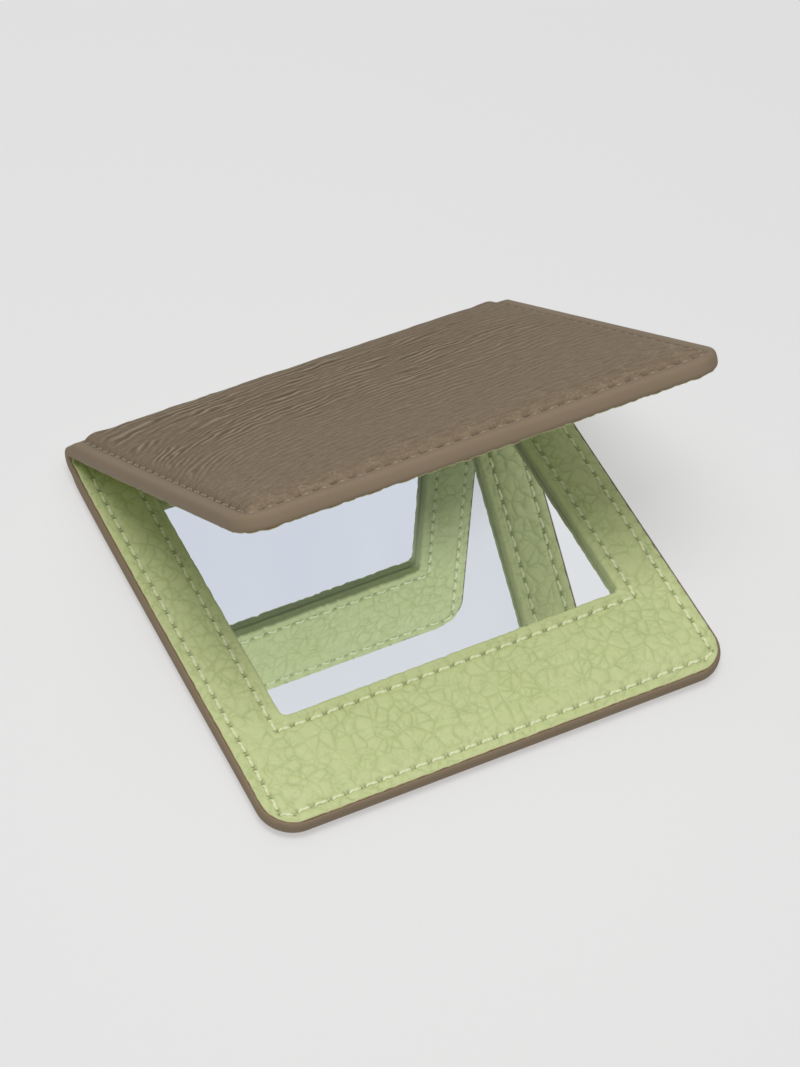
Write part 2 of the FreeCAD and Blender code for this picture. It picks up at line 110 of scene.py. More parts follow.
# %% [markdown]
# ## Placing a panel
# The base lies flat, so it only slides back until its fold side meets the hinge line. The lid is the same
# panel turned half round about a line that leans halfway between the two panels. That one turn keeps left
# and right stitches where they would meet when the case is shut, and it is a rotation, so the faces keep
# their outside outside. Soft goods are never quite true: the left end of the fold is pulled in, and the
# base's front edge runs a little askew.

# %% From panel to object
LEAN = np.array([0.0, -math.cos(STAND / 2), math.sin(STAND / 2)])
HALF_TURN = 2 * np.outer(LEAN, LEAN) - np.eye(3)
PANELS = {"base": 1.0, "lid": -1.0}
PULLED_IN = 0.35
PULL_FADE = 8.0
ASKEW = 0.45


def ease(low, high, value):
    """Rises smoothly from 0 at low to 1 at high."""
    share = np.clip((value - low) / (high - low), 0.0, 1.0)
    return share * share * (3 - 2 * share)


def pulled(x, away):
    """The object's x after the pull at the left end of the fold, at a distance off the fold."""
    return x + PULLED_IN * np.clip(-x / HALF, 0.0, 1.0) * np.exp(-away / PULL_FADE)


def place(points, panel):
    """Panel millimetres to object millimetres."""
    x, y, z = np.asarray(points, float).T
    away = np.maximum(-y, 0.0)
    x = PANELS[panel] * pulled(PANELS[panel] * x, away)
    if panel == "base":
        y = y - ASKEW * x / HALF * ease(WINDOW_FAR, REACH, away)
        return np.column_stack([x, y + HINGE[1], z])
    return HINGE + np.column_stack([x, y, z - HINGE[2]]) @ HALF_TURN.T


print("lid free edge:", np.round(place([[0.0, -REACH, 0.0]], "lid")[0], 2))

# %% [markdown]
# ## Making a mesh from points
# Skins are easiest to control as grids of points, with every height worked out by a formula. Sculpting
# would be freer, but a formula gives the same result each run. Each mesh also carries a UV map in
# millimetres, so that a grain of three millimetres is three millimetres everywhere, and named point marks
# that tell the material where to paint shade into creases, valleys and needle holes and highlights onto
# crests.

# %% Laying out points and faces
def quads(index, flip=False):
    """Four-sided faces between the rows and columns of an array of point numbers."""
    corners = [index[:-1, :-1], index[:-1, 1:], index[1:, 1:], index[1:, :-1]]
    if flip:
        corners.reverse()
    return np.stack(corners, axis=-1).reshape(-1, 4)


class Layout:
    """Collects the points, marks and faces of one skin."""

    def __init__(self, *marks):
        self.blocks = []
        self.marks = {mark: [] for mark in marks}
        self.faces = []
        self.count = 0

    def add(self, x, y, z, **marks):
        """Adds points and returns their numbers; a mark that isn't given is 0."""
        block = np.column_stack([np.ravel(x), np.ravel(y), np.ravel(z)])
        for mark, values in self.marks.items():
            values.append(np.zeros(len(block)) + np.ravel(marks.get(mark, 0.0)))
        self.blocks.append(block)
        self.count += len(block)
        return np.arange(self.count - len(block), self.count)

    def points(self):
        return np.concatenate(self.blocks)

    def all_marks(self):
        return {mark: np.concatenate(values) for mark, values in self.marks.items()}

    def all_faces(self):
        return np.concatenate(self.faces)


print("faces of a 3 by 3 grid:", len(quads(np.arange(9).reshape(3, 3))))

# %% From points to an object
def make_piece(name, points, faces, grain_uv, marks):
    """A smooth mesh object from points in object millimetres."""
    mesh = bpy.data.meshes.new(name)
    mesh.from_pydata((points * MM).tolist(), [], faces.tolist())
    mesh.shade_smooth()
    layer = mesh.uv_layers.new(name="grain")
    corner_point = np.empty(len(mesh.loops), np.int32)
    mesh.loops.foreach_get("vertex_index", corner_point)
    layer.data.foreach_set("uv", grain_uv[corner_point].astype(np.float32).ravel())
    for mark, values in marks.items():
        attribute = mesh.attributes.new(mark, "FLOAT", "POINT")
        attribute.data.foreach_set("value", np.asarray(values, np.float32).ravel())
    piece = bpy.data.objects.new(name, mesh)
    bpy.context.scene.collection.objects.link(piece)
    print(f"{name}: {len(points)} points, {len(faces)} faces")
    return piece


def give_thickness(piece, thickness):
    """Closes an open skin by thickening it towards its inside."""
    shell = piece.modifiers.new("thickness", "SOLIDIFY")
    shell.thickness = thickness * MM
    shell.offset = -1.0


# %% [markdown]
# ## The panel's outline
# Each panel is a rectangle whose two free corners are rounded. Every layer follows the same outline, only
# further in. Shrinking a rounded rectangle keeps its corner centres, so the radius falls by the same
# amount. Only the seam differs: it turns its corners within two stitches.

# %% Outline helpers
def outline(inset):
    """Half width, reach and corner radius of the panel's outline moved in by inset."""
    radius = SEAM_CORNER if inset == SEAM_INSET else CORNER - inset
    return HALF - inset, REACH - inset, radius


def fill_outline(inset, rows, columns):
    """x and y of a grid whose row ends lie on the outline."""
    half, far, radius = outline(inset)
    y = -np.repeat(np.asarray(rows)[:, None], len(columns), axis=1)
    past = np.clip(-y - (far - radius), 0.0, radius)
    width = half - radius + np.sqrt(np.maximum(radius**2 - past**2, 0.0))
    return np.asarray(columns)[None, :] / half * width, y


def depth_inside(x, y, inset):
    """How far points lie inside the outline moved in by inset. The fold side has no edge."""
    half, far, radius = outline(inset)
    across = np.abs(x) - (half - radius)
    along = -y - (far - radius)
    beyond = np.hypot(np.maximum(across, 0.0), np.maximum(along, 0.0))
    return radius - beyond - np.minimum(np.maximum(across, along), 0.0)


def outward(x, y, inset):
    """Unit directions that point straight out of the outline, at points on it."""
    half, far, radius = outline(inset)
    across = np.maximum(np.abs(x) - (half - radius), 0.0)
    along = np.maximum(-y - (far - radius), 0.0)
    length = np.hypot(across, along)
    return np.sign(x) * across / length, -along / length


print("corner radius at the seam:", round(outline(SEAM_INSET)[2], 2), "mm")

# %% Rows and columns of a grid
def spread(*stops):
    """Places from the first stop to the last, where each stop is its place and the step that follows it."""
    runs = []
    for (start, step), (end, _) in zip(stops, stops[1:]):
        runs.append(np.linspace(start, end, max(1, round(abs(end - start) / step)), endpoint=False))
    return np.append(np.concatenate(runs), stops[-1][0])


def corner_rows(inset, count):
    """Distances from the fold of the rows that go round the free corners, close together at the end."""
    _, far, radius = outline(inset)
    turn = np.linspace(0.0, math.pi / 2, count + 1)[1:]
    return far - radius + radius * np.sin(turn)


def edge_loop(index):
    """Point numbers down the left side of a grid, along its last row and up its right side."""
    return np.concatenate([index[:, 0], index[-1, 1:], index[-2::-1, -1]])


print("edge of a 3 by 3 grid:", edge_loop(np.arange(9).reshape(3, 3)))

# %% [markdown]
# ## Unevenness for hide
# Leather never repeats. Soft noise bends lines and varies heights, and a cell pattern gives the pebbles of
# a milled hide: random seeds are scattered, each point belongs to its nearest seed, and creases run where
# two seeds are equally near. Both use seeded random numbers, so the same hide comes out each time.

# %% Soft noise
NOISE_ROWS, NOISE_COLUMNS = 97, 89


def soft_noise(x, y, cell, seed):
    """Smooth noise between -1 and 1 with bumps about one cell across."""
    table = np.random.default_rng(seed).uniform(-1.0, 1.0, (NOISE_ROWS, NOISE_COLUMNS))
    column, row = np.floor(x / cell).astype(int), np.floor(y / cell).astype(int)
    right, up = ease(0.0, 1.0, x / cell - column), ease(0.0, 1.0, y / cell - row)

    def pick(step_x, step_y):
        return table[(row + step_y) % NOISE_ROWS, (column + step_x) % NOISE_COLUMNS]

    low = pick(0, 0) * (1 - right) + pick(1, 0) * right
    high = pick(0, 1) * (1 - right) + pick(1, 1) * right
    return low * (1 - up) + high * up


print("noise at one place:", round(float(soft_noise(np.array(3.0), np.array(4.0), 5.0, 1)), 3))

# %% Pebbles
SEED_ROWS, SEED_COLUMNS = 61, 67
NEIGHBOURS = [(i, j) for i in range(-2, 3) for j in range(-2, 3)]


def crease_distance(x, y, cell, seed):
    """Distance in millimetres from each point to the nearest crease between pebbles one cell across."""
    jitter = np.random.default_rng(seed).uniform(0.0, 1.0, (SEED_ROWS, SEED_COLUMNS, 2))
    column, row = np.floor(x / cell).astype(int), np.floor(y / cell).astype(int)
    offsets = []
    for i, j in NEIGHBOURS:
        spot = jitter[(row + j) % SEED_ROWS, (column + i) % SEED_COLUMNS]
        offsets.append((column + i + spot[..., 0] - x / cell, row + j + spot[..., 1] - y / cell))
    nearest = np.array([np.hypot(*offset) for offset in offsets]).argmin(axis=0)
    own_x, own_y = np.zeros(np.shape(x)), np.zeros(np.shape(x))
    for number, (offset_x, offset_y) in enumerate(offsets):
        own_x = np.where(nearest == number, offset_x, own_x)
        own_y = np.where(nearest == number, offset_y, own_y)
    gap = np.full(np.shape(x), np.inf)
    for number, (offset_x, offset_y) in enumerate(offsets):
        apart_x, apart_y = offset_x - own_x, offset_y - own_y
        apart = np.maximum(np.hypot(apart_x, apart_y), 1e-9)
        halfway = ((own_x + offset_x) * apart_x + (own_y + offset_y) * apart_y) / (2 * apart)
        gap = np.where(nearest == number, gap, np.minimum(gap, halfway))
    return gap * cell


test_x, test_y = np.meshgrid(np.arange(0.0, 20.0, 0.5), np.arange(0.0, 20.0, 0.5))
test_gap = crease_distance(test_x, test_y, 4.0, 1).mean()
print(f"mean distance to a crease of 4 mm pebbles: {test_gap:.2f} mm")

# %% [markdown]
# ## Where the stitches go
# A rim seam runs down one side, round the free corners and back up the other side, and a window seam goes
# square round the mirror. A curve with an array modifier could carry the stitches, but the leather needs to
# know every needle hole too. So one list of places and headings drives both the thread and the dents in the
# skin.

# %% Rim seam
STITCH_PITCH = 3.0
STITCH_LENGTH = 2.3
STITCH_START = 3.5


def rim_seam():
    """Places and headings of the stitches of a rim seam, in panel millimetres."""
    half, far, radius = outline(SEAM_INSET)
    side, bend, front = far - radius - STITCH_START, radius * math.pi / 2, 2 * (half - radius)
    total = 2 * side + 2 * bend + front
    count = round(total / STITCH_PITCH)
    found = []
    for travelled in (np.arange(count) + 0.5) * total / count:
        mirrored = travelled > total / 2
        along = total - travelled if mirrored else travelled
        if along < side:
            spot, heading = (-half, -STITCH_START - along), (0.0, -1.0)
        elif along < side + bend:
            turn = (along - side) / radius
            spot = (-half + radius - radius * math.cos(turn), -far + radius - radius * math.sin(turn))
            heading = (math.sin(turn), -math.cos(turn))
        else:
            spot, heading = (-half + radius + along - side - bend, -far), (1.0, 0.0)
        if mirrored:
            spot, heading = (-spot[0], spot[1]), (heading[0], -heading[1])
        found.append((*spot, *heading))
    return np.array(found)


print(len(rim_seam()), "stitches in a rim seam")

# %% Window seam and needle holes
WINDOW_SEAM = 2.2


def window_seam():
    """Places and headings of the stitches of the square seam round the window, in panel millimetres."""
    half = WINDOW_HALF + WINDOW_SEAM
    near, far = WINDOW_NEAR - WINDOW_SEAM, WINDOW_FAR + WINDOW_SEAM
    corners = np.array([(-half, -near), (-half, -far), (half, -far), (half, -near)])
    found = []
    for start, end in zip(corners, np.roll(corners, -1, axis=0)):
        run = np.linalg.norm(end - start)
        heading = (end - start) / run
        count = round(run / STITCH_PITCH)
        for travelled in (np.arange(count) + 0.5) * run / count:
            found.append((*(start + heading * travelled), *heading))
    return np.array(found)


def needle_dents(x, y, stitches, width):
    """How deep in a needle hole each point lies, from 0 to 1."""
    ends = np.concatenate([stitches[:, :2] + side * stitches[:, 2:] * STITCH_LENGTH / 2 for side in (-1, 1)])
    dent = np.zeros(np.shape(x))
    for spot_x, spot_y in ends:
        dent = np.maximum(dent, np.exp(-((x - spot_x) ** 2 + (y - spot_y) ** 2) / width**2))
    return dent


SEAMS = {"rim": rim_seam(), "window": window_seam()}
print({name: len(stitches) for name, stitches in SEAMS.items()}, "stitches")

# %% [markdown]
# ## The form of the outer skin
# The hide is glued over a board that is smaller than the panel, so a puffed middle rises from a sewn rim,
# and the rim turns over a filler in a soft edge. The boards stop short of the fold, where the hide sinks to
# a thin bend, and long use has pinched the bend's left end. A cube with bevels would give none of this. A
# grid with a height formula gives the puff and the seam's crease.

# %% Height of the bare form
PUFF_WIDTH = 2.6
CROWN_WIDTH = 11.0
FOLD_SOFTNESS = 5.0
FOLD_WIDTH = 1.4
FOLD_SINK = 1.9
FOLD_REACH = 3.6
SLOPE_REACH = 10.0
FILLER_FACE = 2.25
SEAM_HOLLOW = 0.22
PINCH = 0.7
PINCH_WIDTH = 11.0
SEAM_FLAT = 0.3
SEAM_WIDTH = 0.5
EDGE_FIRMNESS = 0.6
EDGE_WIDTH = 4.0
SLOPE_SHARE = 0.34


def skin_form(panel, x, y):
    """Height of a panel's outer skin before any wrinkle."""
    inside = depth_inside(x, y, SEAM_INSET)
    near_fold = np.exp(-((y / FOLD_WIDTH) ** 2))
    share = np.clip((inside - SEAM_FLAT) / (PUFF_WIDTH + FOLD_SOFTNESS * near_fold), 0.0, 1.0)
    crown = np.clip(inside / CROWN_WIDTH, 0.0, 1.0)
    puff = 1.0 - 0.5 * (1.0 - share) ** 2.4 - 0.5 * (1.0 - crown) ** 2
    hollow = SEAM_HOLLOW * np.exp(-((inside / SEAM_WIDTH) ** 2)) * ease(0.0, 3.0, -y)
    from_left = HALF + PANELS[panel] * x
    pinch = PINCH * np.exp(-((from_left / PINCH_WIDTH) ** 2)) * near_fold
    bare = RIM_FACE * (1.0 - puff) + hollow + pinch
    firm_edge = EDGE_FIRMNESS * np.exp(-((inside / EDGE_WIDTH) ** 2))
    bend = 1.0 - ease(0.0, FOLD_REACH - firm_edge, -y)
    slope = 1.0 - ease(0.0, SLOPE_REACH, -y)
    sunk = FOLD_SINK * (bend + SLOPE_SHARE * ease(1.0, 6.0, inside) * (slope - bend))
    return bare + sunk * (1.0 - bare / FILLER_FACE)


print("form at the fold's left end:", skin_form("base", np.array([-HALF]), np.array([0.0])))

# %% [markdown]
# ## Wrinkles of the outer skin
# Near the fold the hide has been bent so often that it has broken into long branching ridges, which turn
# towards the free edge as they reach the left seam. Towards the free edge it is smooth, with fine crinkles
# where the seam pulls. A wave texture could draw them, but in the mesh they catch light and show in the
# outline.

# %% Ridges
FOLD_LENGTH = (HINGE[2] - FOLD_SINK) * SWEEP
RIDGE_SPACING = 2.2
RIDGE_HEIGHT = 0.22
FAN_REACH = 16.0
FAN_WIDTH = 11.0
FAN_SPAN = 22.0
SWAYS = ((11.0, 0.9), (4.2, 0.55), (1.9, 0.4))
SECOND_RATIO = 0.8
SECOND_SLANT = 0.05
BRANCH_CELL = 4.5
HIDE_SEED = 40


def skin_run(panel, y):
    """Distance across the fold along the skin, from the base over the fold to the lid."""
    return y if panel == "base" else FOLD_LENGTH - y


def ridges(x, run):
    """Ridges of the broken hide, from 0 in a valley to 1 on a crest."""
    across = run - FOLD_LENGTH / 2
    far = np.abs(across)
    fan = FAN_REACH * np.exp(-np.maximum(x + HALF - SEAM_INSET, 0.0) / FAN_WIDTH)
    bent = np.sign(across) * np.where(far < FAN_SPAN + fan, far / (1.0 + fan / FAN_SPAN), far - fan)
    for cell, sway in SWAYS:
        bent = bent + sway * soft_noise(x, run, cell, HIDE_SEED + round(cell))
    first = np.abs(np.sin(math.pi * bent / RIDGE_SPACING))
    second = np.abs(np.sin(math.pi * (bent / (SECOND_RATIO * RIDGE_SPACING) + SECOND_SLANT * x)))
    share = ease(-0.25, 0.25, soft_noise(x, run, BRANCH_CELL, HIDE_SEED + 2))
    return 1.0 - (first * share + second * (1.0 - share))


print("length of hide over the fold:", round(FOLD_LENGTH, 2), "mm")

# %% Ridges and crinkles together
def wrinkles(x, run, inside, away):
    """How far the wrinkles sink the skin, and marks for the material; away is the distance off the fold."""
    fade = (1.0 - 0.8 * ease(26.0, 62.0, away)) * (1.0 - 0.55 * ease(10.0, 38.0, x))
    strength = fade * ease(0.5, 3.0, inside) * (0.7 + 0.3 * soft_noise(x, run, 9.0, HIDE_SEED + 5))
    ridge = ridges(x, run)
    broken = ease(-0.5, 0.5, soft_noise(0.5 * x, 1.3 * run, 2.2, HIDE_SEED + 8))
    # The crest mask lifts the ridge tops and also paints them paler: a painted highlight, with some rubbed
    # wear.
    crest_and_highlight = ridge**2.2 * broken
    # The valley mask only paints shade into the valleys of the ridges.
    valley_shade = (1.0 - ridge) ** 2 * (0.4 + 0.6 * broken)
    crinkle = ease(50.0, 68.0, away) * ease(0.2, 1.2, inside) * (1.0 - ease(3.0, 11.0, inside))
    sink = RIDGE_HEIGHT * strength * (1.0 - 0.5 * (ridge + crest_and_highlight))
    return sink, {"crest_and_highlight": strength * crest_and_highlight, "valley_shade": strength * valley_shade, "crinkle": crinkle}


test_x = np.array([-30.0, 0.0, 30.0])
print("ridges sink the skin by", np.round(wrinkles(test_x, -10.0 + 0.0 * test_x, 9.0, 10.0)[0], 3), "mm")

# %% [markdown]
# ## Sewing the outer skin
# Each panel's skin is one grid, fine enough to hold the ridges, whose edge points are carried on round the
# rim in rings and tucked in behind the lining. The Solidify modifier then gives the skin the thickness of
# pared leather.

# %% Grid of the outer skin
SKIN_STEP = 0.4
RIDGE_STEP = 0.25
SEAM_STEP = 0.25
SKIN_THICKNESS = 0.5
ROLL = np.radians(np.linspace(-90.0, 70.0, 17)[1:])
ROLL_SHARPNESS = 0.7
ROLL_OUT = 1.05
LIP = RIM_TOP - 0.15
TUCK = 0.15
TUCK_DEPTH = 1.0
SKIN_NEEDLE = 0.36

skin_half, skin_far, skin_radius = outline(RIM_DEPTH)
SEAM_ZONE = 8.0
skin_columns = spread((-skin_half, SEAM_STEP), (SEAM_ZONE - skin_half, SKIN_STEP),
                      (skin_half - SEAM_ZONE, SEAM_STEP), (skin_half, 0.0))
skin_rows = spread((0.0, RIDGE_STEP), (skin_far - SEAM_ZONE, SEAM_STEP), (skin_far - skin_radius, 0.0))
skin_rows = np.concatenate([skin_rows, corner_rows(RIM_DEPTH, 14)])
print("outer skin grid:", len(skin_rows), "rows,", len(skin_columns), "columns")

# %% Sew the outer skin round both panels
def roll_rim(layout, loop):
    """Carries an edge round the rim and tucks it in behind the lining; returns the rings of point numbers."""
    x, y, low = layout.points()[loop].T
    out_x, out_y = outward(x, y, RIM_DEPTH)
    middle, half_height = (LIP + low) / 2, (LIP - low) / 2
    rings = [loop]
    for turn in ROLL:
        out = ROLL_OUT * math.cos(turn) ** ROLL_SHARPNESS
        climb = math.copysign(abs(math.sin(turn)) ** ROLL_SHARPNESS, turn)
        rings.append(layout.add(x + out_x * out, y + out_y * out, middle + half_height * climb, rim=1.0))
    tuck = out - TUCK
    rings.append(layout.add(x + out_x * tuck, y + out_y * tuck, 0 * low + LINING_FACE - TUCK_DEPTH, rim=1.0))
    return np.array(rings)


def unrolled(points, rings, inset):
    """x and y of a skin laid flat, its rolled edge spread outward by the way walked round the roll."""
    flat = points[:, :2].copy()
    steps = np.linalg.norm(np.diff(points[rings], axis=0), axis=-1)
    walked = np.concatenate([0.0 * steps[:1], steps.cumsum(axis=0)])
    out = np.stack(outward(*flat[rings[0]].T, inset), axis=-1)
    flat[rings] = flat[rings[0]] + walked[..., None] * out
    return flat


def sew_outer_skin(panel):
    """One panel's outer skin with its rolled rim, and its profile along the fold."""
    x, y = fill_outline(RIM_DEPTH, skin_rows, skin_columns)
    sink, marks = wrinkles(PANELS[panel] * x, skin_run(panel, y), depth_inside(x, y, SEAM_INSET), -y)
    layout = Layout("crest_and_highlight", "valley_shade", "crinkle", "seam_shade", "rim")
    # Painted shade in and round the needle holes.
    marks["seam_shade"] = needle_dents(x, y, SEAMS["rim"], SKIN_NEEDLE)
    marks["rim"] = 1.0 - ease(0.2, 1.5, depth_inside(x, y, RIM_DEPTH))
    grid = layout.add(x, y, skin_form(panel, x, y) + sink, **marks).reshape(x.shape)
    rings = roll_rim(layout, edge_loop(grid))
    layout.faces = [quads(grid), quads(rings)]
    points = layout.points()
    flat = unrolled(points, rings, RIM_DEPTH)
    uv = np.column_stack([PANELS[panel] * flat[:, 0], skin_run(panel, flat[:, 1])])
    name = f"{panel}_outer_skin"
    skin = make_piece(name, place(points, panel), layout.all_faces(), uv, layout.all_marks())
    give_thickness(skin, SKIN_THICKNESS)
    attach(skin, panel)
    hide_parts(f"{panel}_cover")
    return skin, np.concatenate([points[rings[:0:-1, 0]], points[grid[0]], points[rings[1:, -1]]])


outer_skins, skin_profiles = {}, {}
for panel in PANELS:
    outer_skins[panel], skin_profiles[panel] = sew_outer_skin(panel)

# %% [markdown]
# ## Turning a profile about the fold
# The skin's fold is the base's own edge profile carried round the hinge line to the lid. Blender's Screw
# modifier could turn it, but here the points are needed to add wrinkles and a UV that continues the panel's
# grain. The strip is made in the open pose and stays rigid, so it would tear if the lid moved.

# %% A strip round the fold
MIDWAY = np.array([0.0, math.sin(STAND / 2), math.cos(STAND / 2)])


def bend_strip(name, profile, turns, length, swell, marks, flip, thickness):
    """Carries a profile round the fold over a run of this length, in the open pose."""
    turn = np.linspace(0.0, SWEEP, turns)[:, None]
    x = np.repeat(profile[None, :, 0], turns, axis=0)
    height = np.broadcast_to(profile[None, :, 2], x.shape)
    run = np.broadcast_to(turn * length / SWEEP, x.shape)
    radius = HINGE[2] - height + swell(x, height, run)
    back, down = radius * np.sin(turn), radius * np.cos(turn)
    points = np.stack([pulled(x, 0.0), HINGE[1] + back, HINGE[2] - down], axis=-1)
    index = np.arange(x.size).reshape(x.shape)
    uv = np.column_stack([x.ravel(), run.ravel()])
    strip = make_piece(name, points.reshape(-1, 3), quads(index, flip), uv, marks(x, run))
    give_thickness(strip, thickness)
    reach = radius.max() * math.sin(SWEEP / 2) * MIDWAY
    tuple((HINGE - reach) * MM)
    tuple((HINGE + reach) * MM)
    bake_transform(strip)
    return strip


print(f"the fold turns {math.degrees(SWEEP):.1f} degrees")

# %% The outer skin over the fold
FOLD_TURNS = 60
END_DROP = 2.7
END_MIDDLE = 7.0
END_WIDTH = 3.0


def fold_wrinkles(x, run):
    """Wrinkles of the outer skin over the fold."""
    return wrinkles(x, run, HALF - SEAM_INSET - np.abs(x), 0.0 * x)


def fold_swell(x, height, run):
    """The wrinkles' relief over the fold, and the left end that sinks in further than the panels' edges."""
    relief = fold_wrinkles(x, 0.0 * run)[0] - fold_wrinkles(x, run)[0]
    end = END_DROP / (1.0 + np.exp((x + HALF - END_MIDDLE) / END_WIDTH))
    share = run / FOLD_LENGTH
    return relief - np.maximum(end - height, 0.0) * ease(0.0, 0.5, share) * ease(0.0, 0.13, 1.0 - share)


def fold_marks(x, run):
    """Marks of the wrinkles over the fold, where nothing is sewn."""
    marks = fold_wrinkles(x, run)[1]
    marks["seam_shade"] = 0.0 * x
    marks["rim"] = ease(HALF - SEAM_INSET, HALF - RIM_DEPTH, np.abs(x))
    return marks


fold_skin = bend_strip("fold_outer_skin", skin_profiles["base"], FOLD_TURNS, FOLD_LENGTH,
                       fold_swell, fold_marks, True, SKIN_THICKNESS)
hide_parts("spine_cover")

# %% [markdown]
# ## The tape under the fold
# A strip of woven tape backs the skin where it bends, so that it doesn't stretch. It is hidden, and like
# the skin it is turned round the fold in the open pose only, though a stiff tape would poke through when the
# case lies flat.

# %% Fold tape
TAPE_DEPTH = 0.75
TAPE_TURNS = 24
TAPE_THICKNESS = 0.2
tape_low, tape_high = extent("spine_reinforcement")
tape_x = np.linspace(tape_low[0], tape_high[0], 60)
tape_profile = np.column_stack([tape_x, 0 * tape_x, skin_form("base", tape_x, 0 * tape_x) + TAPE_DEPTH])
fold_tape = bend_strip("fold_tape", tape_profile, TAPE_TURNS, FOLD_LENGTH,
                       lambda x, height, run: np.minimum(fold_swell(x, height - TAPE_DEPTH, run), 0.0),
                       lambda x, run: {}, True, TAPE_THICKNESS)
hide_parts("spine_reinforcement")

# %% [markdown]
# ## The lining's hide
# The lining is a softer milled hide with pebbles of two to four millimetres. Two networks of creases cross,
# so that many pebbles come out three-sided, and finer wrinkles run between. Both seams pull the hide down
# into a groove, and it gathers where it goes into the fold. A bump map alone would look printed on at this
# size, so the pebbles, grooves and needle holes are all in the mesh.

# %% Height of the lining
PEBBLE = 2.7
SMALL_PEBBLE = 1.2
CREASE_WIDTH = 0.17
CROSSING_WIDTH = 0.15
FINE_WIDTH = 0.1
DOME_WIDTH = 0.45
DOME_RISE = 0.36
SWELL_RISE = 0.09
CREASE_CUT = 0.05
FINE_CUT = 0.03


def window_distance(x, y):
    """Signed distance outside the window's square outline."""
    middle, half_run = (WINDOW_NEAR + WINDOW_FAR) / 2, (WINDOW_FAR - WINDOW_NEAR) / 2
    return np.maximum(np.abs(x) - WINDOW_HALF, np.abs(-y - middle) - half_run)


def pebbled(x, y, seed):
    """Relief of the pebbles in millimetres, and how much painted shade each point gets in and round the
    creases.
    """
    warp_x = x + 0.6 * soft_noise(x, y, 4.0, seed) + 0.2 * soft_noise(x, y, 1.4, seed + 1)
    warp_y = y + 0.6 * soft_noise(x, y, 4.0, seed + 2) + 0.2 * soft_noise(x, y, 1.4, seed + 3)
    first = crease_distance(warp_x, warp_y, PEBBLE, seed + 4)
    second = crease_distance(warp_y, warp_x, PEBBLE, seed + 10)
    small = crease_distance(warp_x, warp_y, SMALL_PEBBLE, seed + 5)
    strong = ease(-1.3, 0.4, soft_noise(x, y, 2.5, seed + 7))
    weak = ease(-1.0, 0.7, soft_noise(x, y, 2.5, seed + 11))
    deep = np.maximum(strong * np.exp(-((first / CREASE_WIDTH) ** 2)),
                      weak * np.exp(-((second / CROSSING_WIDTH) ** 2)))
    fine = np.exp(-((small / FINE_WIDTH) ** 2)) * ease(-0.4, 0.8, soft_noise(x, y, 2.5, seed + 6))
    dome = 1.0 - 0.6 * strong * np.exp(-first / DOME_WIDTH) - 0.4 * weak * np.exp(-second / DOME_WIDTH)
    swell = soft_noise(x, y, 1.8, seed + 9)
    # Painted shade: dark in the creases, softer round each pebble's edge, a little lighter on the swells.
    crease_shade = np.maximum(0.55 * deep, 0.35 * fine) + 0.2 * (1.0 - dome) - 0.1 * swell
    return DOME_RISE * dome + SWELL_RISE * swell - CREASE_CUT * deep - FINE_CUT * fine, crease_shade


print("relief at one place:", np.round(pebbled(np.array([0.0]), np.array([-70.0]), 60)[0], 3), "mm")

# %% Seams in the lining
LINING_SEEDS = {"base": 60, "lid": 80}
LINING_SINK = 0.14
LINING_NEEDLE = 0.3
NEEDLE_DEPTH = 0.15
GROOVE = 0.5
GROOVE_DEPTH = 0.16
PILLOW = 0.13
GATHER = 0.2
GATHER_REACH = 5.0
EDGE_DROP = 0.15


def lining_skin(panel, x, y):
    """Height of the lining and the marks of the painted shade in its creases, gathers, needle holes and seam
    grooves.
    """
    seed = LINING_SEEDS[panel]
    within = depth_inside(x, y, SEAM_INSET)
    window_gap = np.abs(window_distance(x, y) - WINDOW_SEAM)
    seam_gap = np.minimum(np.abs(within), window_gap)
    groove = np.exp(-((seam_gap / GROOVE) ** 2))
    pebble, crease_shade = (part * (1.0 - 0.8 * groove) for part in pebbled(x, y, seed))
    dents = np.maximum.reduce([needle_dents(x, y, seam, LINING_NEEDLE) for seam in SEAMS.values()])
    pillow = PILLOW * ease(0.0, 3.0, np.minimum(within, window_gap)) * ease(0.0, 2.0, window_distance(x, y))
    ends = 0.5 + 1.2 * np.exp(-((HALF - np.abs(x)) / 9.0) ** 2)
    bunched = ends * np.exp(-((y / GATHER_REACH) ** 2)) * ease(0.0, 1.0, -y)
    gather = GATHER * bunched * soft_noise(x, 0.6 * y, 1.7, seed + 8)
    relief = pillow + pebble - GROOVE_DEPTH * groove - NEEDLE_DEPTH * dents + gather
    relief = relief - EDGE_DROP * ease(0.0, 1.8, -within)
    # Painted shade: deeper where the gather sinks, and in the needle holes and along the seam grooves.
    marks = {"crease_shade": np.clip(crease_shade - 2.0 * np.minimum(gather, 0.0), 0.0, 1.0),
             "seam_shade": np.maximum(dents, 0.45 * np.exp(-((seam_gap / 0.2) ** 2)))}
    return LINING_FACE - LINING_SINK + relief * ease(0.0, 0.6, -y), marks


print("lining height in the front margin:", lining_skin("base", np.array([0.0]), np.array([-70.0]))[0])

# %% [markdown]
# ## Wrapping the lining
# The lining is wrapped over a card, so its outer edge rolls down beside the rim, where its painted cut edge
# shows as a thin red-brown line, and its window edge rolls down to the glass. The grid leaves out the
# window, and the square hole is then drawn in to the window's rounded outline ring by ring, over the roll
# and down the wall.

# %% Outer edge of the lining
LINING_STEP = 0.18
LINING_THICKNESS = 0.3
EDGE_ROLL = 0.35
EDGE_DEPTH = 0.85
GRID_INSET = LINING_INSET + EDGE_ROLL


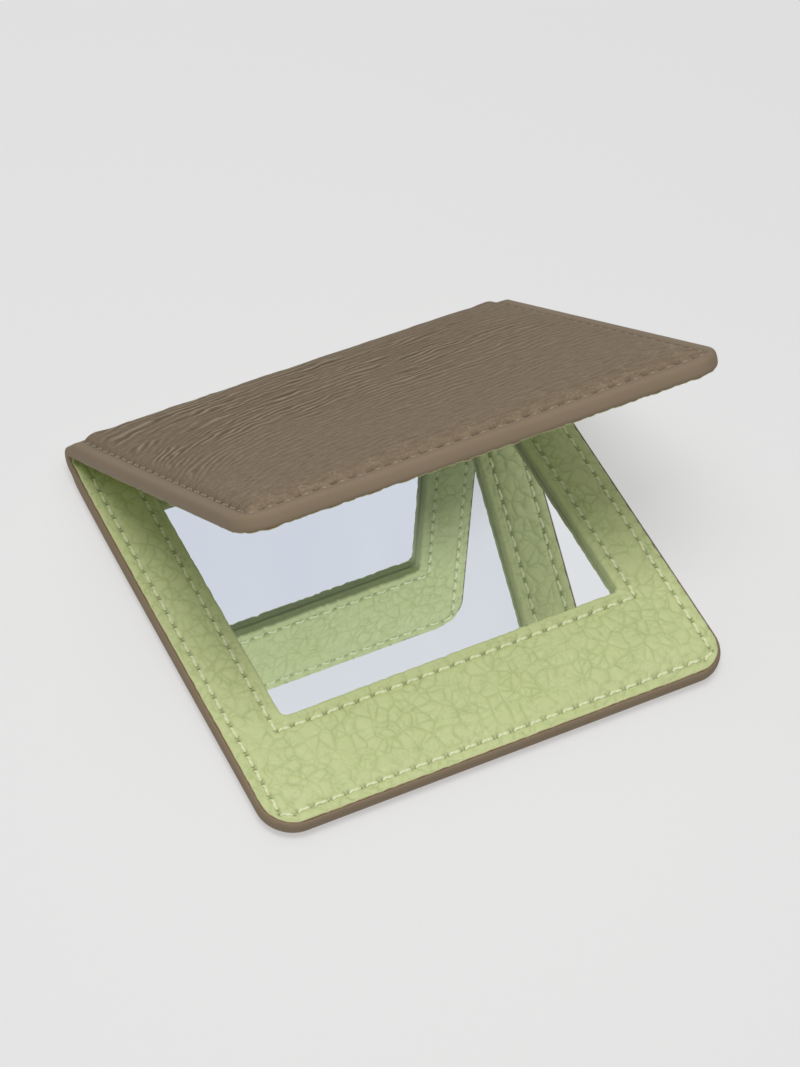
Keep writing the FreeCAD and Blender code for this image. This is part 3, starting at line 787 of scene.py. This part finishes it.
def roll_lining_edge(layout, loop):
    """Rolls the lining's edge down beside the rim; returns the rings of point numbers."""
    x, y, z = layout.points()[loop].T
    out_x, out_y = outward(x, y, GRID_INSET)
    rings = [loop]
    for turn in np.radians([22.5, 45.0, 67.5, 90.0]):
        out, drop = EDGE_ROLL * math.sin(turn), EDGE_ROLL * (1 - math.cos(turn))
        paint = ease(0.6, 1.0, math.sin(turn))
        rings.append(layout.add(x + out_x * out, y + out_y * out, z - drop, edge=paint))
    foot = 0 * z + LINING_FACE - EDGE_DEPTH
    rings.append(layout.add(x + out_x * EDGE_ROLL, y + out_y * EDGE_ROLL, foot, edge=1.0))
    return np.array(rings)


print("lining grid starts", round(GRID_INSET, 2), "mm in from the panel's edge")

# %% Window edge of the lining
WINDOW_ROLL = 0.55
WINDOW_CORNER = 1.2
HOLE_MARGIN = WINDOW_ROLL + 0.6
GLASS_GAP = 0.03


def roll_window_edge(layout, loop):
    """Draws the square hole in to the window and rolls it down to the glass; returns the rings of points."""
    x, y, z = layout.points()[loop].T
    middle = -(WINDOW_NEAR + WINDOW_FAR) / 2
    core_x, core_y = WINDOW_HALF - WINDOW_CORNER, (WINDOW_FAR - WINDOW_NEAR) / 2 - WINDOW_CORNER
    centre_x, centre_y = np.clip(x, -core_x, core_x), middle + np.clip(y - middle, -core_y, core_y)
    length = np.hypot(x - centre_x, y - centre_y)
    away_x, away_y = (x - centre_x) / length, (y - centre_y) / length
    edge_x, edge_y = centre_x + away_x * WINDOW_CORNER, centre_y + away_y * WINDOW_CORNER
    rings = [loop]
    for share in (0.5, 1.0):
        ring_x = x + (edge_x + away_x * WINDOW_ROLL - x) * share
        ring_y = y + (edge_y + away_y * WINDOW_ROLL - y) * share
        rings.append(layout.add(ring_x, ring_y, z))
    for turn in np.radians([18.0, 36.0, 54.0, 72.0, 90.0]):
        out, drop = WINDOW_ROLL * (1 - math.sin(turn)), WINDOW_ROLL * (1 - math.cos(turn))
        rings.append(layout.add(edge_x + away_x * out, edge_y + away_y * out, z - drop))
    foot = MIRROR_FACE + GLASS_GAP
    for share in (0.5, 1.0):
        rings.append(layout.add(edge_x, edge_y, z - WINDOW_ROLL + (foot - z + WINDOW_ROLL) * share))
    rings = np.array(rings)
    return np.concatenate([rings, rings[:, :1]], axis=1)


print("hole in the grid is", round(HOLE_MARGIN, 2), "mm wider than the window on each side")

# %% Wrap the lining frames
def lining_grid():
    """x and y of the lining's grid, and the rows and columns that bound its hole."""
    half, far, radius = outline(GRID_INSET)
    hole = WINDOW_HALF + HOLE_MARGIN
    near, end = WINDOW_NEAR - HOLE_MARGIN, WINDOW_FAR + HOLE_MARGIN
    columns = spread((-half, LINING_STEP), (-hole, LINING_STEP), (hole, LINING_STEP), (half, 0.0))
    rows = spread((0.0, LINING_STEP), (near, LINING_STEP), (end, LINING_STEP), (far - radius, 0.0))
    rows = np.concatenate([rows, corner_rows(GRID_INSET, 16)])
    left, right = np.abs(columns + hole).argmin(), np.abs(columns - hole).argmin()
    top, bottom = np.abs(rows - near).argmin(), np.abs(rows - end).argmin()
    return *fill_outline(GRID_INSET, rows, columns), (top, bottom, left, right)


def wrap_lining(panel):
    """One panel's lining frame, and its profile along the fold."""
    x, y, (top, bottom, left, right) = lining_grid()
    kept = np.ones(x.shape, bool)
    kept[top + 1:bottom, left + 1:right] = False
    layout = Layout("crease_shade", "seam_shade", "edge")
    z, marks = lining_skin(panel, x[kept], y[kept])
    index = np.full(x.shape, -1)
    index[kept] = layout.add(x[kept], y[kept], z, **marks)
    faces = quads(index, flip=True)
    rings = roll_lining_edge(layout, edge_loop(index))
    hole_loop = np.concatenate([index[top:bottom, left], index[bottom, left:right],
                                index[bottom:top:-1, right], index[top, right:left:-1]])
    window_rings = roll_window_edge(layout, hole_loop)
    layout.faces = [faces[(faces >= 0).all(axis=1)], quads(rings, flip=True), quads(window_rings)]
    points = layout.points()
    flat = unrolled(points, rings, GRID_INSET)
    uv = np.column_stack([PANELS[panel] * flat[:, 0], flat[:, 1]])
    name = f"{panel}_lining_frame"
    lining = make_piece(name, place(points, panel), layout.all_faces(), uv, layout.all_marks())
    give_thickness(lining, LINING_THICKNESS)
    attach(lining, panel)
    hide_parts(f"{panel}_lining")
    return lining, np.concatenate([points[rings[:0:-1, 0]], points[index[0]], points[rings[1:, -1]]])


linings, lining_profiles = {}, {}
for panel in PANELS:
    linings[panel], lining_profiles[panel] = wrap_lining(panel)

# %% [markdown]
# ## The lining's crease
# At the fold the lining bunches into a tight gathered crease. It is the same kind of strip as the skin's
# fold, turned round the hinge line at less than a millimetre, with small wrinkles that run across it.

# %% Crease of the lining
CREASE_LENGTH = (HINGE[2] - LINING_FACE + 0.1) * SWEEP
CREASE_TURNS = 16
CREASE_THICKNESS = 0.2
GATHER_CELL = 1.3
GATHER_HEIGHT = 0.16
GATHER_SEED = 95


def gathered(x, height, run):
    """Wrinkles across the crease."""
    fade = ease(0.0, 0.4, run) * ease(0.0, 0.4, CREASE_LENGTH - run)
    return GATHER_HEIGHT * soft_noise(x, run, GATHER_CELL, GATHER_SEED) * fade


def gather_marks(x, run):
    """The gathered fold gets painted shade that varies along its wrinkles; nothing is sewn there and it has
    no edge paint.
    """
    dark = 0.5 + 0.5 * soft_noise(x, run, GATHER_CELL, GATHER_SEED)
    return {"crease_shade": dark, "seam_shade": 0.0 * x, "edge": 0.0 * x}


lining_crease = bend_strip("fold_lining_crease", lining_profiles["base"], CREASE_TURNS, CREASE_LENGTH,
                           gathered, gather_marks, False, CREASE_THICKNESS)
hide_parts("spine_lining")

# %% [markdown]
# ## Thread
# Each stitch is a short length of waxed thread that comes up from one needle hole and dives into the next,
# a little slanted to the seam. Capsules would look like grains of rice lying on the leather. A swept tube
# that bends down at both ends and sways like a flat S, as twisted thread does, looks sewn in. Small seeded
# differences keep it hand made.

# %% Stitches
SLANT = math.radians(6.0)
SWAY = 0.11
DIVE = 0.22
FLATNESS = 0.38
SECTIONS = 13
SIDES = 10


def sew(name, stitches, surface, up, panel, width, lift, seed):
    """Lays one thread per stitch, as one mesh, on a surface that looks up or down in panel millimetres."""
    rng = np.random.default_rng(seed)
    share = np.linspace(0.0, 1.0, SECTIONS)[:, None]
    around = np.linspace(0.0, 2 * math.pi, SIDES, endpoint=False)[None, :]
    index = np.arange(SECTIONS * SIDES).reshape(SECTIONS, SIDES)
    tube = quads(np.concatenate([index, index[:, :1]], axis=1), flip=up < 0)
    arch = np.sin(math.pi * share) ** 0.5
    layout, uv = Layout(), []
    for spot_x, spot_y, head_x, head_y in stitches:
        slant = SLANT + rng.normal(0.0, 0.035)
        along_x = head_x * math.cos(slant) - head_y * math.sin(slant)
        along_y = head_x * math.sin(slant) + head_y * math.cos(slant)
        offset = (share - 0.5) * STITCH_LENGTH * rng.uniform(0.98, 1.08)
        thin = (0.6 + 0.4 * arch) * (0.85 + 0.3 * share)
        across = width / 2 * thin * np.cos(around) + SWAY * np.sin(2 * math.pi * share)
        rise = (lift + rng.normal(0.0, 0.02)) * arch - DIVE
        x = spot_x + along_x * offset - along_y * across
        y = spot_y + along_y * offset + along_x * across
        face = surface(spot_x + along_x * offset, spot_y + along_y * offset)
        numbers = layout.add(x, y, face + up * (rise + FLATNESS * width * thin * np.sin(around)))
        layout.faces.append(tube + numbers[0])
        uv.append(np.column_stack([np.ravel(offset + 0 * x), np.ravel(around / (2 * math.pi) + 0 * x)]))
    thread = make_piece(name, place(layout.points(), panel), layout.all_faces(), np.concatenate(uv), {})
    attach(thread, panel)
    return thread


print(SECTIONS * SIDES, "points in a stitch")

# %% Sew both panels
OUTER_WIDTH, OUTER_LIFT = 0.32, 0.26
LINING_WIDTH, LINING_LIFT = 0.56, 0.42
SEWN_FACE = LINING_FACE - 0.3


def seam_floor(x, y):
    """Height of the lining at the bottom of its seam grooves."""
    return 0.0 * x + SEWN_FACE


threads = {}
for panel in PANELS:
    outer = sew(f"{panel}_outer_thread", SEAMS["rim"], lambda x, y: skin_form(panel, x, y), -1.0, panel,
                OUTER_WIDTH, OUTER_LIFT, 7)
    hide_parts(f"{panel}_cover_stitches")
    rim = sew(f"{panel}_lining_thread", SEAMS["rim"], seam_floor, 1.0, panel, LINING_WIDTH, LINING_LIFT, 8)
    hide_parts(f"{panel}_lining_stitches")
    window = sew(f"{panel}_window_thread", SEAMS["window"], seam_floor, 1.0, panel, LINING_WIDTH,
                 LINING_LIFT, 9)
    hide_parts(f"{panel}_window_stitches")
    threads[panel] = (outer, rim, window)

# %% [markdown]
# ## Shader maths as Python
# A material is a web of nodes, and laying out Math nodes by hand hides the idea behind them. Here a small
# class wraps a socket so that `1 - mask` or `0.4 + 0.2 * noise` writes the Math nodes by itself. Colours go
# through Mix nodes, because a Math node would turn them grey. Every other node comes from one method.

# %% Sockets that take part in sums
def connect(tree, socket, value):
    """Links a wrapped socket, or sets a plain value."""
    if isinstance(value, Wire):
        tree.links.new(value.socket, socket)
    else:
        socket.default_value = value


class Wire:
    """A socket that takes part in sums."""

    def __init__(self, tree, socket):
        self.tree = tree
        self.socket = socket

    def combine(self, operation, first, second):
        node = self.tree.nodes.new("ShaderNodeMath")
        node.operation = operation
        connect(self.tree, node.inputs[0], first)
        connect(self.tree, node.inputs[1], second)
        return Wire(self.tree, node.outputs[0])

    def __add__(self, other):
        return self.combine("ADD", self, other)

    def __radd__(self, other):
        return self.combine("ADD", other, self)

    def __sub__(self, other):
        return self.combine("SUBTRACT", self, other)

    def __rsub__(self, other):
        return self.combine("SUBTRACT", other, self)

    def __mul__(self, other):
        return self.combine("MULTIPLY", self, other)

    def __rmul__(self, other):
        return self.combine("MULTIPLY", other, self)


# %% Webs of nodes
def tone(red, green, blue):
    """A colour as a screen shows it, 0 to 255, turned into the linear light that shaders use."""
    shares = np.array([red, green, blue]) / 255
    linear = np.where(shares <= 0.04045, shares / 12.92, ((shares + 0.055) / 1.055) ** 2.4)
    return (*linear.tolist(), 1.0)


class Web:
    """A node tree that is built call by call."""

    def __init__(self, owner):
        owner.use_nodes = True
        self.tree = owner.node_tree

    def node(self, kind, settings, sockets, output=0):
        """Adds a node: first its settings, then the values or links of its sockets."""
        node = self.tree.nodes.new(kind)
        for setting, value in settings.items():
            setattr(node, setting, value)
        for socket, value in sockets.items():
            connect(self.tree, node.inputs[socket], value)
        return Wire(self.tree, node.outputs[output])

    def mix(self, factor, first, second):
        """Goes from the first colour to the second."""
        return self.node("ShaderNodeMix", {"data_type": "RGBA"}, {0: factor, 6: first, 7: second}, output=2)

    def noise(self, where, scale, detail):
        """Cloudy noise from 0 to 1."""
        return self.node("ShaderNodeTexNoise", {}, {"Vector": where, "Scale": scale, "Detail": detail})

    def climb(self, value, low, high):
        """Rises smoothly from 0 at low to 1 at high."""
        return self.node("ShaderNodeMapRange", {"interpolation_type": "SMOOTHSTEP"},
                         {"Value": value, "From Min": low, "From Max": high})

    def cracks(self, where, scale, width):
        """Thin lines between random cells, 1 on a line; a cell is one over scale across."""
        gap = self.node("ShaderNodeTexVoronoi", {"feature": "DISTANCE_TO_EDGE"},
                        {"Vector": where, "Scale": scale})
        return 1.0 - self.climb(gap, 0.0, width * scale)

    def stretch(self, where, scale):
        """Scales a place differently along each axis."""
        return self.node("ShaderNodeVectorMath", {"operation": "MULTIPLY"}, {0: where, 1: scale})


print("pale floor grey in linear light:", round(tone(227, 227, 227)[0], 3))

# %% Finishes
class Finish(Web):
    """A procedural material built round one Principled shader."""

    def __init__(self, name):
        self.material = bpy.data.materials.new(name)
        super().__init__(self.material)
        self.shader = self.tree.nodes["Principled BSDF"]

    def grain(self):
        """The mesh's own millimetres."""
        return self.node("ShaderNodeUVMap", {"uv_map": "grain"}, {})

    def mark(self, name):
        """A point mark that the mesh carries."""
        return self.node("ShaderNodeAttribute", {"attribute_name": name}, {}, output="Fac")

    def bump(self, height, depth):
        """Turns a height from 0 to 1 into relief of that depth in millimetres."""
        return self.node("ShaderNodeBump", {}, {"Strength": 1.0, "Distance": depth * MM, "Height": height})

    def set(self, **sockets):
        """Feeds the Principled shader."""
        for socket, value in sockets.items():
            connect(self.tree, self.shader.inputs[socket.replace("_", " ")], value)


def dress(piece, finish):
    """Gives a piece one material in place of any it had."""
    piece.data.materials.clear()
    piece.data.materials.append(finish.material)


# %% [markdown]
# ## Taupe outer leather
# The outer hide is matt taupe. Ridge crests are painted paler, a painted highlight along with some rubbed
# wear, and the valleys and needle holes are painted darker as painted shade. Between them lie pores and fine
# lines well under a millimetre, too small for geometry, so they come from bump. So do the hairlines where the
# front seam pulls, which also get the painted highlight.

# %% Outer leather finish
def outer_leather():
    finish = Finish("taupe_leather")
    where = finish.grain()
    rough = 1.0 - 0.8 * finish.mark("rim")
    lines = rough * finish.noise(finish.stretch(where, (0.35, 1.0, 1.0)), 1.3, 4.0)
    pores = rough * finish.node("ShaderNodeTexVoronoi", {"feature": "F1"}, {"Vector": where, "Scale": 2.6})
    patches = finish.climb(finish.noise(where, 0.35, 2.0), 0.45, 0.65)
    hairs = finish.cracks(finish.stretch(where, (0.5, 1.2, 1.0)), 0.8, 0.12)
    hairs = finish.mark("crinkle") * patches * hairs
    cloud = finish.noise(where, 0.06, 3.0)
    hide = finish.mix(cloud, tone(146, 129, 107), tone(156, 139, 117))
    hide = finish.mix(0.5 * finish.climb(lines, 0.4, 0.7), hide, tone(120, 104, 84))
    hide = finish.mix(0.35 * finish.climb(pores, 0.3, 0.7), hide, tone(122, 106, 86))
    # Painted shade in the ridge valleys.
    hide = finish.mix(0.95 * finish.mark("valley_shade"), hide, tone(88, 73, 56))
    # Painted highlight on ridge crests and seam hairlines, along with rubbed wear.
    hide = finish.mix(0.95 * finish.mark("crest_and_highlight") + 0.3 * hairs, hide, tone(200, 184, 158))
    # Painted shade in the needle holes.
    hide = finish.mix(0.55 * finish.mark("seam_shade"), hide, tone(58, 46, 34))
    relief = 0.55 * lines + 0.25 * hairs - 0.35 * pores
    finish.set(Base_Color=hide, Roughness=0.46 + 0.16 * lines, Normal=finish.bump(relief, 0.09),
               Specular_IOR_Level=0.03)
    return finish


taupe = outer_leather()
for piece in (*outer_skins.values(), fold_skin):
    dress(piece, taupe)
print("taupe leather:", len(taupe.tree.nodes), "nodes")

# %% [markdown]
# ## Green lining leather
# The lining is a pale green milled hide. Its creases get painted shade, which the mesh already marks, softer
# painted shade round each pebble's edge and a little less on its swell, and the needle holes and seam grooves
# get painted shade too. The pebbles are crossed by finer wrinkles that bump shows, painted a little darker as
# well. The cut edge is painted red-brown.

# %% Lining finish
def lining_leather():
    finish = Finish("green_lining")
    where = finish.grain()
    bend = finish.node("ShaderNodeTexNoise", {}, {"Vector": where, "Scale": 0.5, "Detail": 3.0},
                       output="Color")
    bent = finish.node("ShaderNodeVectorMath", {"operation": "MULTIPLY_ADD"},
                       {0: bend, 1: (3.0, 3.0, 0.0), 2: where})
    patches = finish.climb(finish.noise(where, 0.4, 2.0), 0.4, 0.6)
    wrinkle = patches * finish.cracks(bent, 0.55, 0.1)
    fine = finish.noise(where, 2.2, 5.0)
    cloud = finish.noise(where, 0.07, 3.0)
    hide = finish.mix(cloud, tone(217, 227, 164), tone(227, 235, 179))
    hide = finish.mix(0.25 * fine, hide, tone(192, 204, 140))
    # Painted shade in the creases, round the pebbles and along the fine wrinkles.
    hide = finish.mix(0.45 * finish.mark("crease_shade") + 0.12 * wrinkle, hide, tone(140, 158, 88))
    # Painted shade in the needle holes and along the seam grooves.
    hide = finish.mix(0.9 * finish.mark("seam_shade"), hide, tone(70, 84, 34))
    hide = finish.mix(finish.mark("edge"), hide, tone(150, 106, 82))
    relief = 0.45 * fine - 0.3 * wrinkle
    finish.set(Base_Color=hide, Roughness=0.44 + 0.2 * fine, Normal=finish.bump(relief, 0.09),
               Specular_IOR_Level=0.4)
    return finish


green = lining_leather()
for piece in (*linings.values(), lining_crease):
    dress(piece, green)
print("green lining:", len(green.tree.nodes), "nodes")

# %% [markdown]
# ## Waxed thread
# Thread is several plies twisted together. A slanted wave across the tube's own UV draws the twist in
# relief, and the same wave paints each crest paler as a painted highlight over the shade colour; a little
# noise pulls it back towards the shade colour in places.

# %% Thread finishes
def waxed_thread(name, shade, painted_highlight):
    finish = Finish(name)
    where = finish.grain()
    twist = finish.node("ShaderNodeTexWave", {"wave_type": "BANDS", "bands_direction": "DIAGONAL"},
                        {"Vector": finish.stretch(where, (1.1, 1.0, 1.0)), "Scale": 0.55, "Distortion": 0.6},
                        output="Fac")
    fuzz = finish.noise(where, 4.0, 3.0)
    # Painted highlight on the twist's crests, over the thread's shade colour.
    colour = finish.mix(0.4 + 0.6 * twist, shade, painted_highlight)
    colour = finish.mix(0.25 * fuzz, colour, shade)
    finish.set(Base_Color=colour, Roughness=0.42 + 0.2 * fuzz, Normal=finish.bump(twist, 0.05))
    return finish


pale_thread = waxed_thread("pale_thread", tone(226, 234, 168), tone(254, 255, 226))
brown_thread = waxed_thread("brown_thread", tone(92, 78, 60), tone(186, 170, 144))
for outer, rim, window in threads.values():
    dress(outer, brown_thread)
    dress(rim, pale_thread)
    dress(window, pale_thread)
print("thread:", len(pale_thread.tree.nodes), "nodes")

# %% [markdown]
# ## Mirror glass
# The mirrors are real solids with the right size and bevel, so their nodes stay. Silvered glass reflects
# almost all light with a slight cool cast, and its faint polishing streaks only change how sharp and bright
# the reflection is.

# %% Mirror finish
def mirror_glass():
    finish = Finish("silvered_glass")
    where = finish.node("ShaderNodeTexCoord", {}, {}, output="Object")
    turned = finish.node("ShaderNodeMapping", {},
                         {"Vector": where, "Rotation": (0.0, 0.0, 0.7), "Scale": (60.0, 9.0, 9.0)})
    streak = finish.noise(turned, 1.0, 2.0)
    silver = finish.mix(streak, tone(242, 245, 250), tone(250, 252, 255))
    finish.set(Base_Color=silver, Metallic=1.0, Roughness=0.004 + 0.008 * streak)
    return finish


silvered = mirror_glass()
for panel in PANELS:
    dress(frame["nodes"][f"{panel}_mirror"], silvered)
print("mirror glass:", len(silvered.tree.nodes), "nodes")

# %% [markdown]
# ## What lies inside
# Boards, card, tape and discs are shut in and hardly show, but each still looks like what it is when the
# case is opened up or seen through a gap: fibres in the board, threads in the tape, brushed metal on the
# discs.

# %% Finishes of the hidden pieces
def inner_finish(name, dark, light, grain, metallic=0.0, roughness=0.6):
    finish = Finish(name)
    where = finish.node("ShaderNodeTexCoord", {}, {}, output="Object")
    fibre = finish.noise(finish.stretch(where, grain), 1.0, 5.0)
    finish.set(Base_Color=finish.mix(fibre, tone(*dark), tone(*light)), Metallic=metallic,
               Roughness=roughness - 0.15 * fibre, Normal=finish.bump(fibre, 0.03))
    return finish


INNER_LOOKS = {
    "backing_board": ("fibreboard", (92, 74, 56), (134, 112, 88), (900.0, 300.0, 900.0)),
    "mirror_spacer": ("spacer_board", (150, 140, 124), (186, 176, 160), (700.0, 700.0, 300.0)),
    "mirror_tape": ("adhesive_sheet", (196, 190, 176), (220, 214, 200), (500.0, 500.0, 500.0)),
    "lining_card": ("frame_card", (170, 160, 142), (200, 190, 172), (600.0, 600.0, 300.0)),
    "edge_welt": ("welt_leather", (84, 70, 58), (116, 100, 84), (800.0, 800.0, 800.0)),
    "magnets": ("nickel", (150, 148, 144), (190, 188, 184), (90.0, 2000.0, 90.0), 1.0, 0.42),
    "keeper_discs": ("steel", (120, 120, 122), (170, 170, 172), (90.0, 2000.0, 90.0), 1.0, 0.48),
}
for ending, look in INNER_LOOKS.items():
    finish = inner_finish(*look)
    for node, piece in frame["nodes"].items():
        if node.endswith(ending):
            dress(piece, finish)
dress(fold_tape, inner_finish("woven_tape", (70, 60, 50), (110, 98, 84), (1500.0, 400.0, 1500.0)))
print("inner finishes:", len(INNER_LOOKS) + 1)

# %% [markdown]
# ## Floor
# The case stands on a plain pale sheet. White paper alone would go grey round the object, where the case
# keeps the light off it. A sheet that glows a little, like a light table, keeps only the thin shadow at the
# foot.

# %% Floor sheet
scene = bpy.context.scene
scene.view_settings.view_transform = "Standard"

FLOOR_HALF = 3.0
FLOOR_DROP = -5e-5
floor_mesh = bpy.data.meshes.new("floor")
floor_signs = [(-1, -1), (1, -1), (1, 1), (-1, 1)]
floor_corners = [(FLOOR_HALF * x, FLOOR_HALF * y, FLOOR_DROP) for x, y in floor_signs]
floor_mesh.from_pydata(floor_corners, [], [(0, 1, 2, 3)])
floor = bpy.data.objects.new("floor", floor_mesh)
scene.collection.objects.link(floor)
paper = Finish("floor_paper")
paper_cloud = paper.noise(paper.node("ShaderNodeTexCoord", {}, {}, output="Object"), 3.0, 2.0)
paper.set(Base_Color=paper.mix(paper_cloud, tone(170, 170, 170), tone(172, 172, 172)), Roughness=0.9,
          Specular_IOR_Level=0.0, Emission_Color=tone(227, 227, 227), Emission_Strength=0.6)
dress(floor, paper)
print("floor:", 2 * FLOOR_HALF, "m square")

# %% [markdown]
# ## Light
# For the light that falls on it, the case stands under a studio dome that is bright overhead and dim at the
# horizon, like a huge soft box: the lid's back and the front margin are well lit, and the light dies away
# under the lid. A mirror shows the room itself, and a half-dark room would make black glass. So what is
# seen straight or in a mirror is an even pale studio: the Light Path node tells such rays from the ones
# that only carry light. One smaller soft lamp overhead, a little to the front left, gives the light some
# direction. The view transform is left plain, so a colour comes out as mixed.

# %% Studio dome
DOME_AXIS = (-0.08, 0.0, 0.997)
HORIZON = (0.03, 0.03, 0.03, 1.0)
OVERHEAD = (1.3, 1.3, 1.3, 1.0)
STUDIO = (0.79, 0.79, 0.79, 1.0)
world = bpy.data.worlds.new("studio_dome")
dome = Web(world)
way = dome.node("ShaderNodeTexCoord", {}, {}, output="Generated")
rise = dome.node("ShaderNodeVectorMath", {"operation": "DOT_PRODUCT"}, {0: way, 1: DOME_AXIS},
                 output="Value")
soft_box = dome.mix(dome.climb(rise, 0.72, 0.97), HORIZON, OVERHEAD)
straight = dome.node("ShaderNodeLightPath", {}, {}, output="Is Camera Ray")
in_mirror = dome.node("ShaderNodeLightPath", {}, {}, output="Is Glossy Ray")
scattered = dome.node("ShaderNodeLightPath", {}, {}, output="Diffuse Depth")
unscattered = dome.node("ShaderNodeMath", {"operation": "LESS_THAN"}, {0: scattered, 1: 0.5})
connect(dome.tree, dome.tree.nodes["Background"].inputs["Color"],
        dome.mix(straight + in_mirror * unscattered, soft_box, STUDIO))
scene.world = world
print("dome:", len(dome.tree.nodes), "nodes")

# %% Key lamp
KEY_SPOT = np.array([-0.13, -0.1, 0.7])
KEY_AIM = np.array([0.0, 0.0, 0.02])
light = bpy.data.lights.new("key_lamp", "AREA")
light.size = 0.24
light.energy = 2.0
key_lamp = bpy.data.objects.new("key_lamp", light)
scene.collection.objects.link(key_lamp)
away = (KEY_SPOT - KEY_AIM) / np.linalg.norm(KEY_SPOT - KEY_AIM)
sideways = np.cross([0.0, 1.0, 0.0], away)
sideways = sideways / np.linalg.norm(sideways)
hung = np.eye(4)
hung[:3, :3] = np.column_stack([sideways, np.cross(away, sideways), away])
hung[:3, 3] = KEY_SPOT
key_lamp.matrix_world = Matrix(hung.tolist())

# %% [markdown]
# ## Camera
# The photograph looks down on the case from its front left corner, with the camera rolled a little, from
# more than half a metre away with a long lens. The numbers were found by fitting the panels' measured
# edges.

# %% Camera
AZIMUTH, ELEVATION, TILT = np.radians([-35.855, 53.285, 10.386])
DISTANCE = 542.7
FOCAL_PIXELS = 3210.9
IMAGE_HEIGHT = 1067
AIM = np.array([0.0, -2.1, 0.5])
SLIDE = (0.798, 6.859)

toward = np.array([math.sin(AZIMUTH) * math.cos(ELEVATION),
                   -math.cos(AZIMUTH) * math.cos(ELEVATION),
                   math.sin(ELEVATION)])
level = np.array([math.cos(AZIMUTH), math.sin(AZIMUTH), 0.0])
lift = np.cross(toward, level)
right = math.cos(TILT) * level + math.sin(TILT) * lift
up = math.cos(TILT) * lift - math.sin(TILT) * level
stand = np.eye(4)
stand[:3, :3] = np.column_stack([right, up, toward])
stand[:3, 3] = (AIM + DISTANCE * toward + SLIDE[0] * right + SLIDE[1] * up) * MM

lens = bpy.data.cameras.new("camera")
lens.sensor_width = 36.0
lens.lens = FOCAL_PIXELS / IMAGE_HEIGHT * lens.sensor_width
camera = bpy.data.objects.new("camera", lens)
scene.collection.objects.link(camera)
camera.matrix_world = Matrix(stand.tolist())
scene.camera = camera
print("camera:", np.round(stand[:3, 3], 3), "lens", round(lens.lens, 1), "mm")
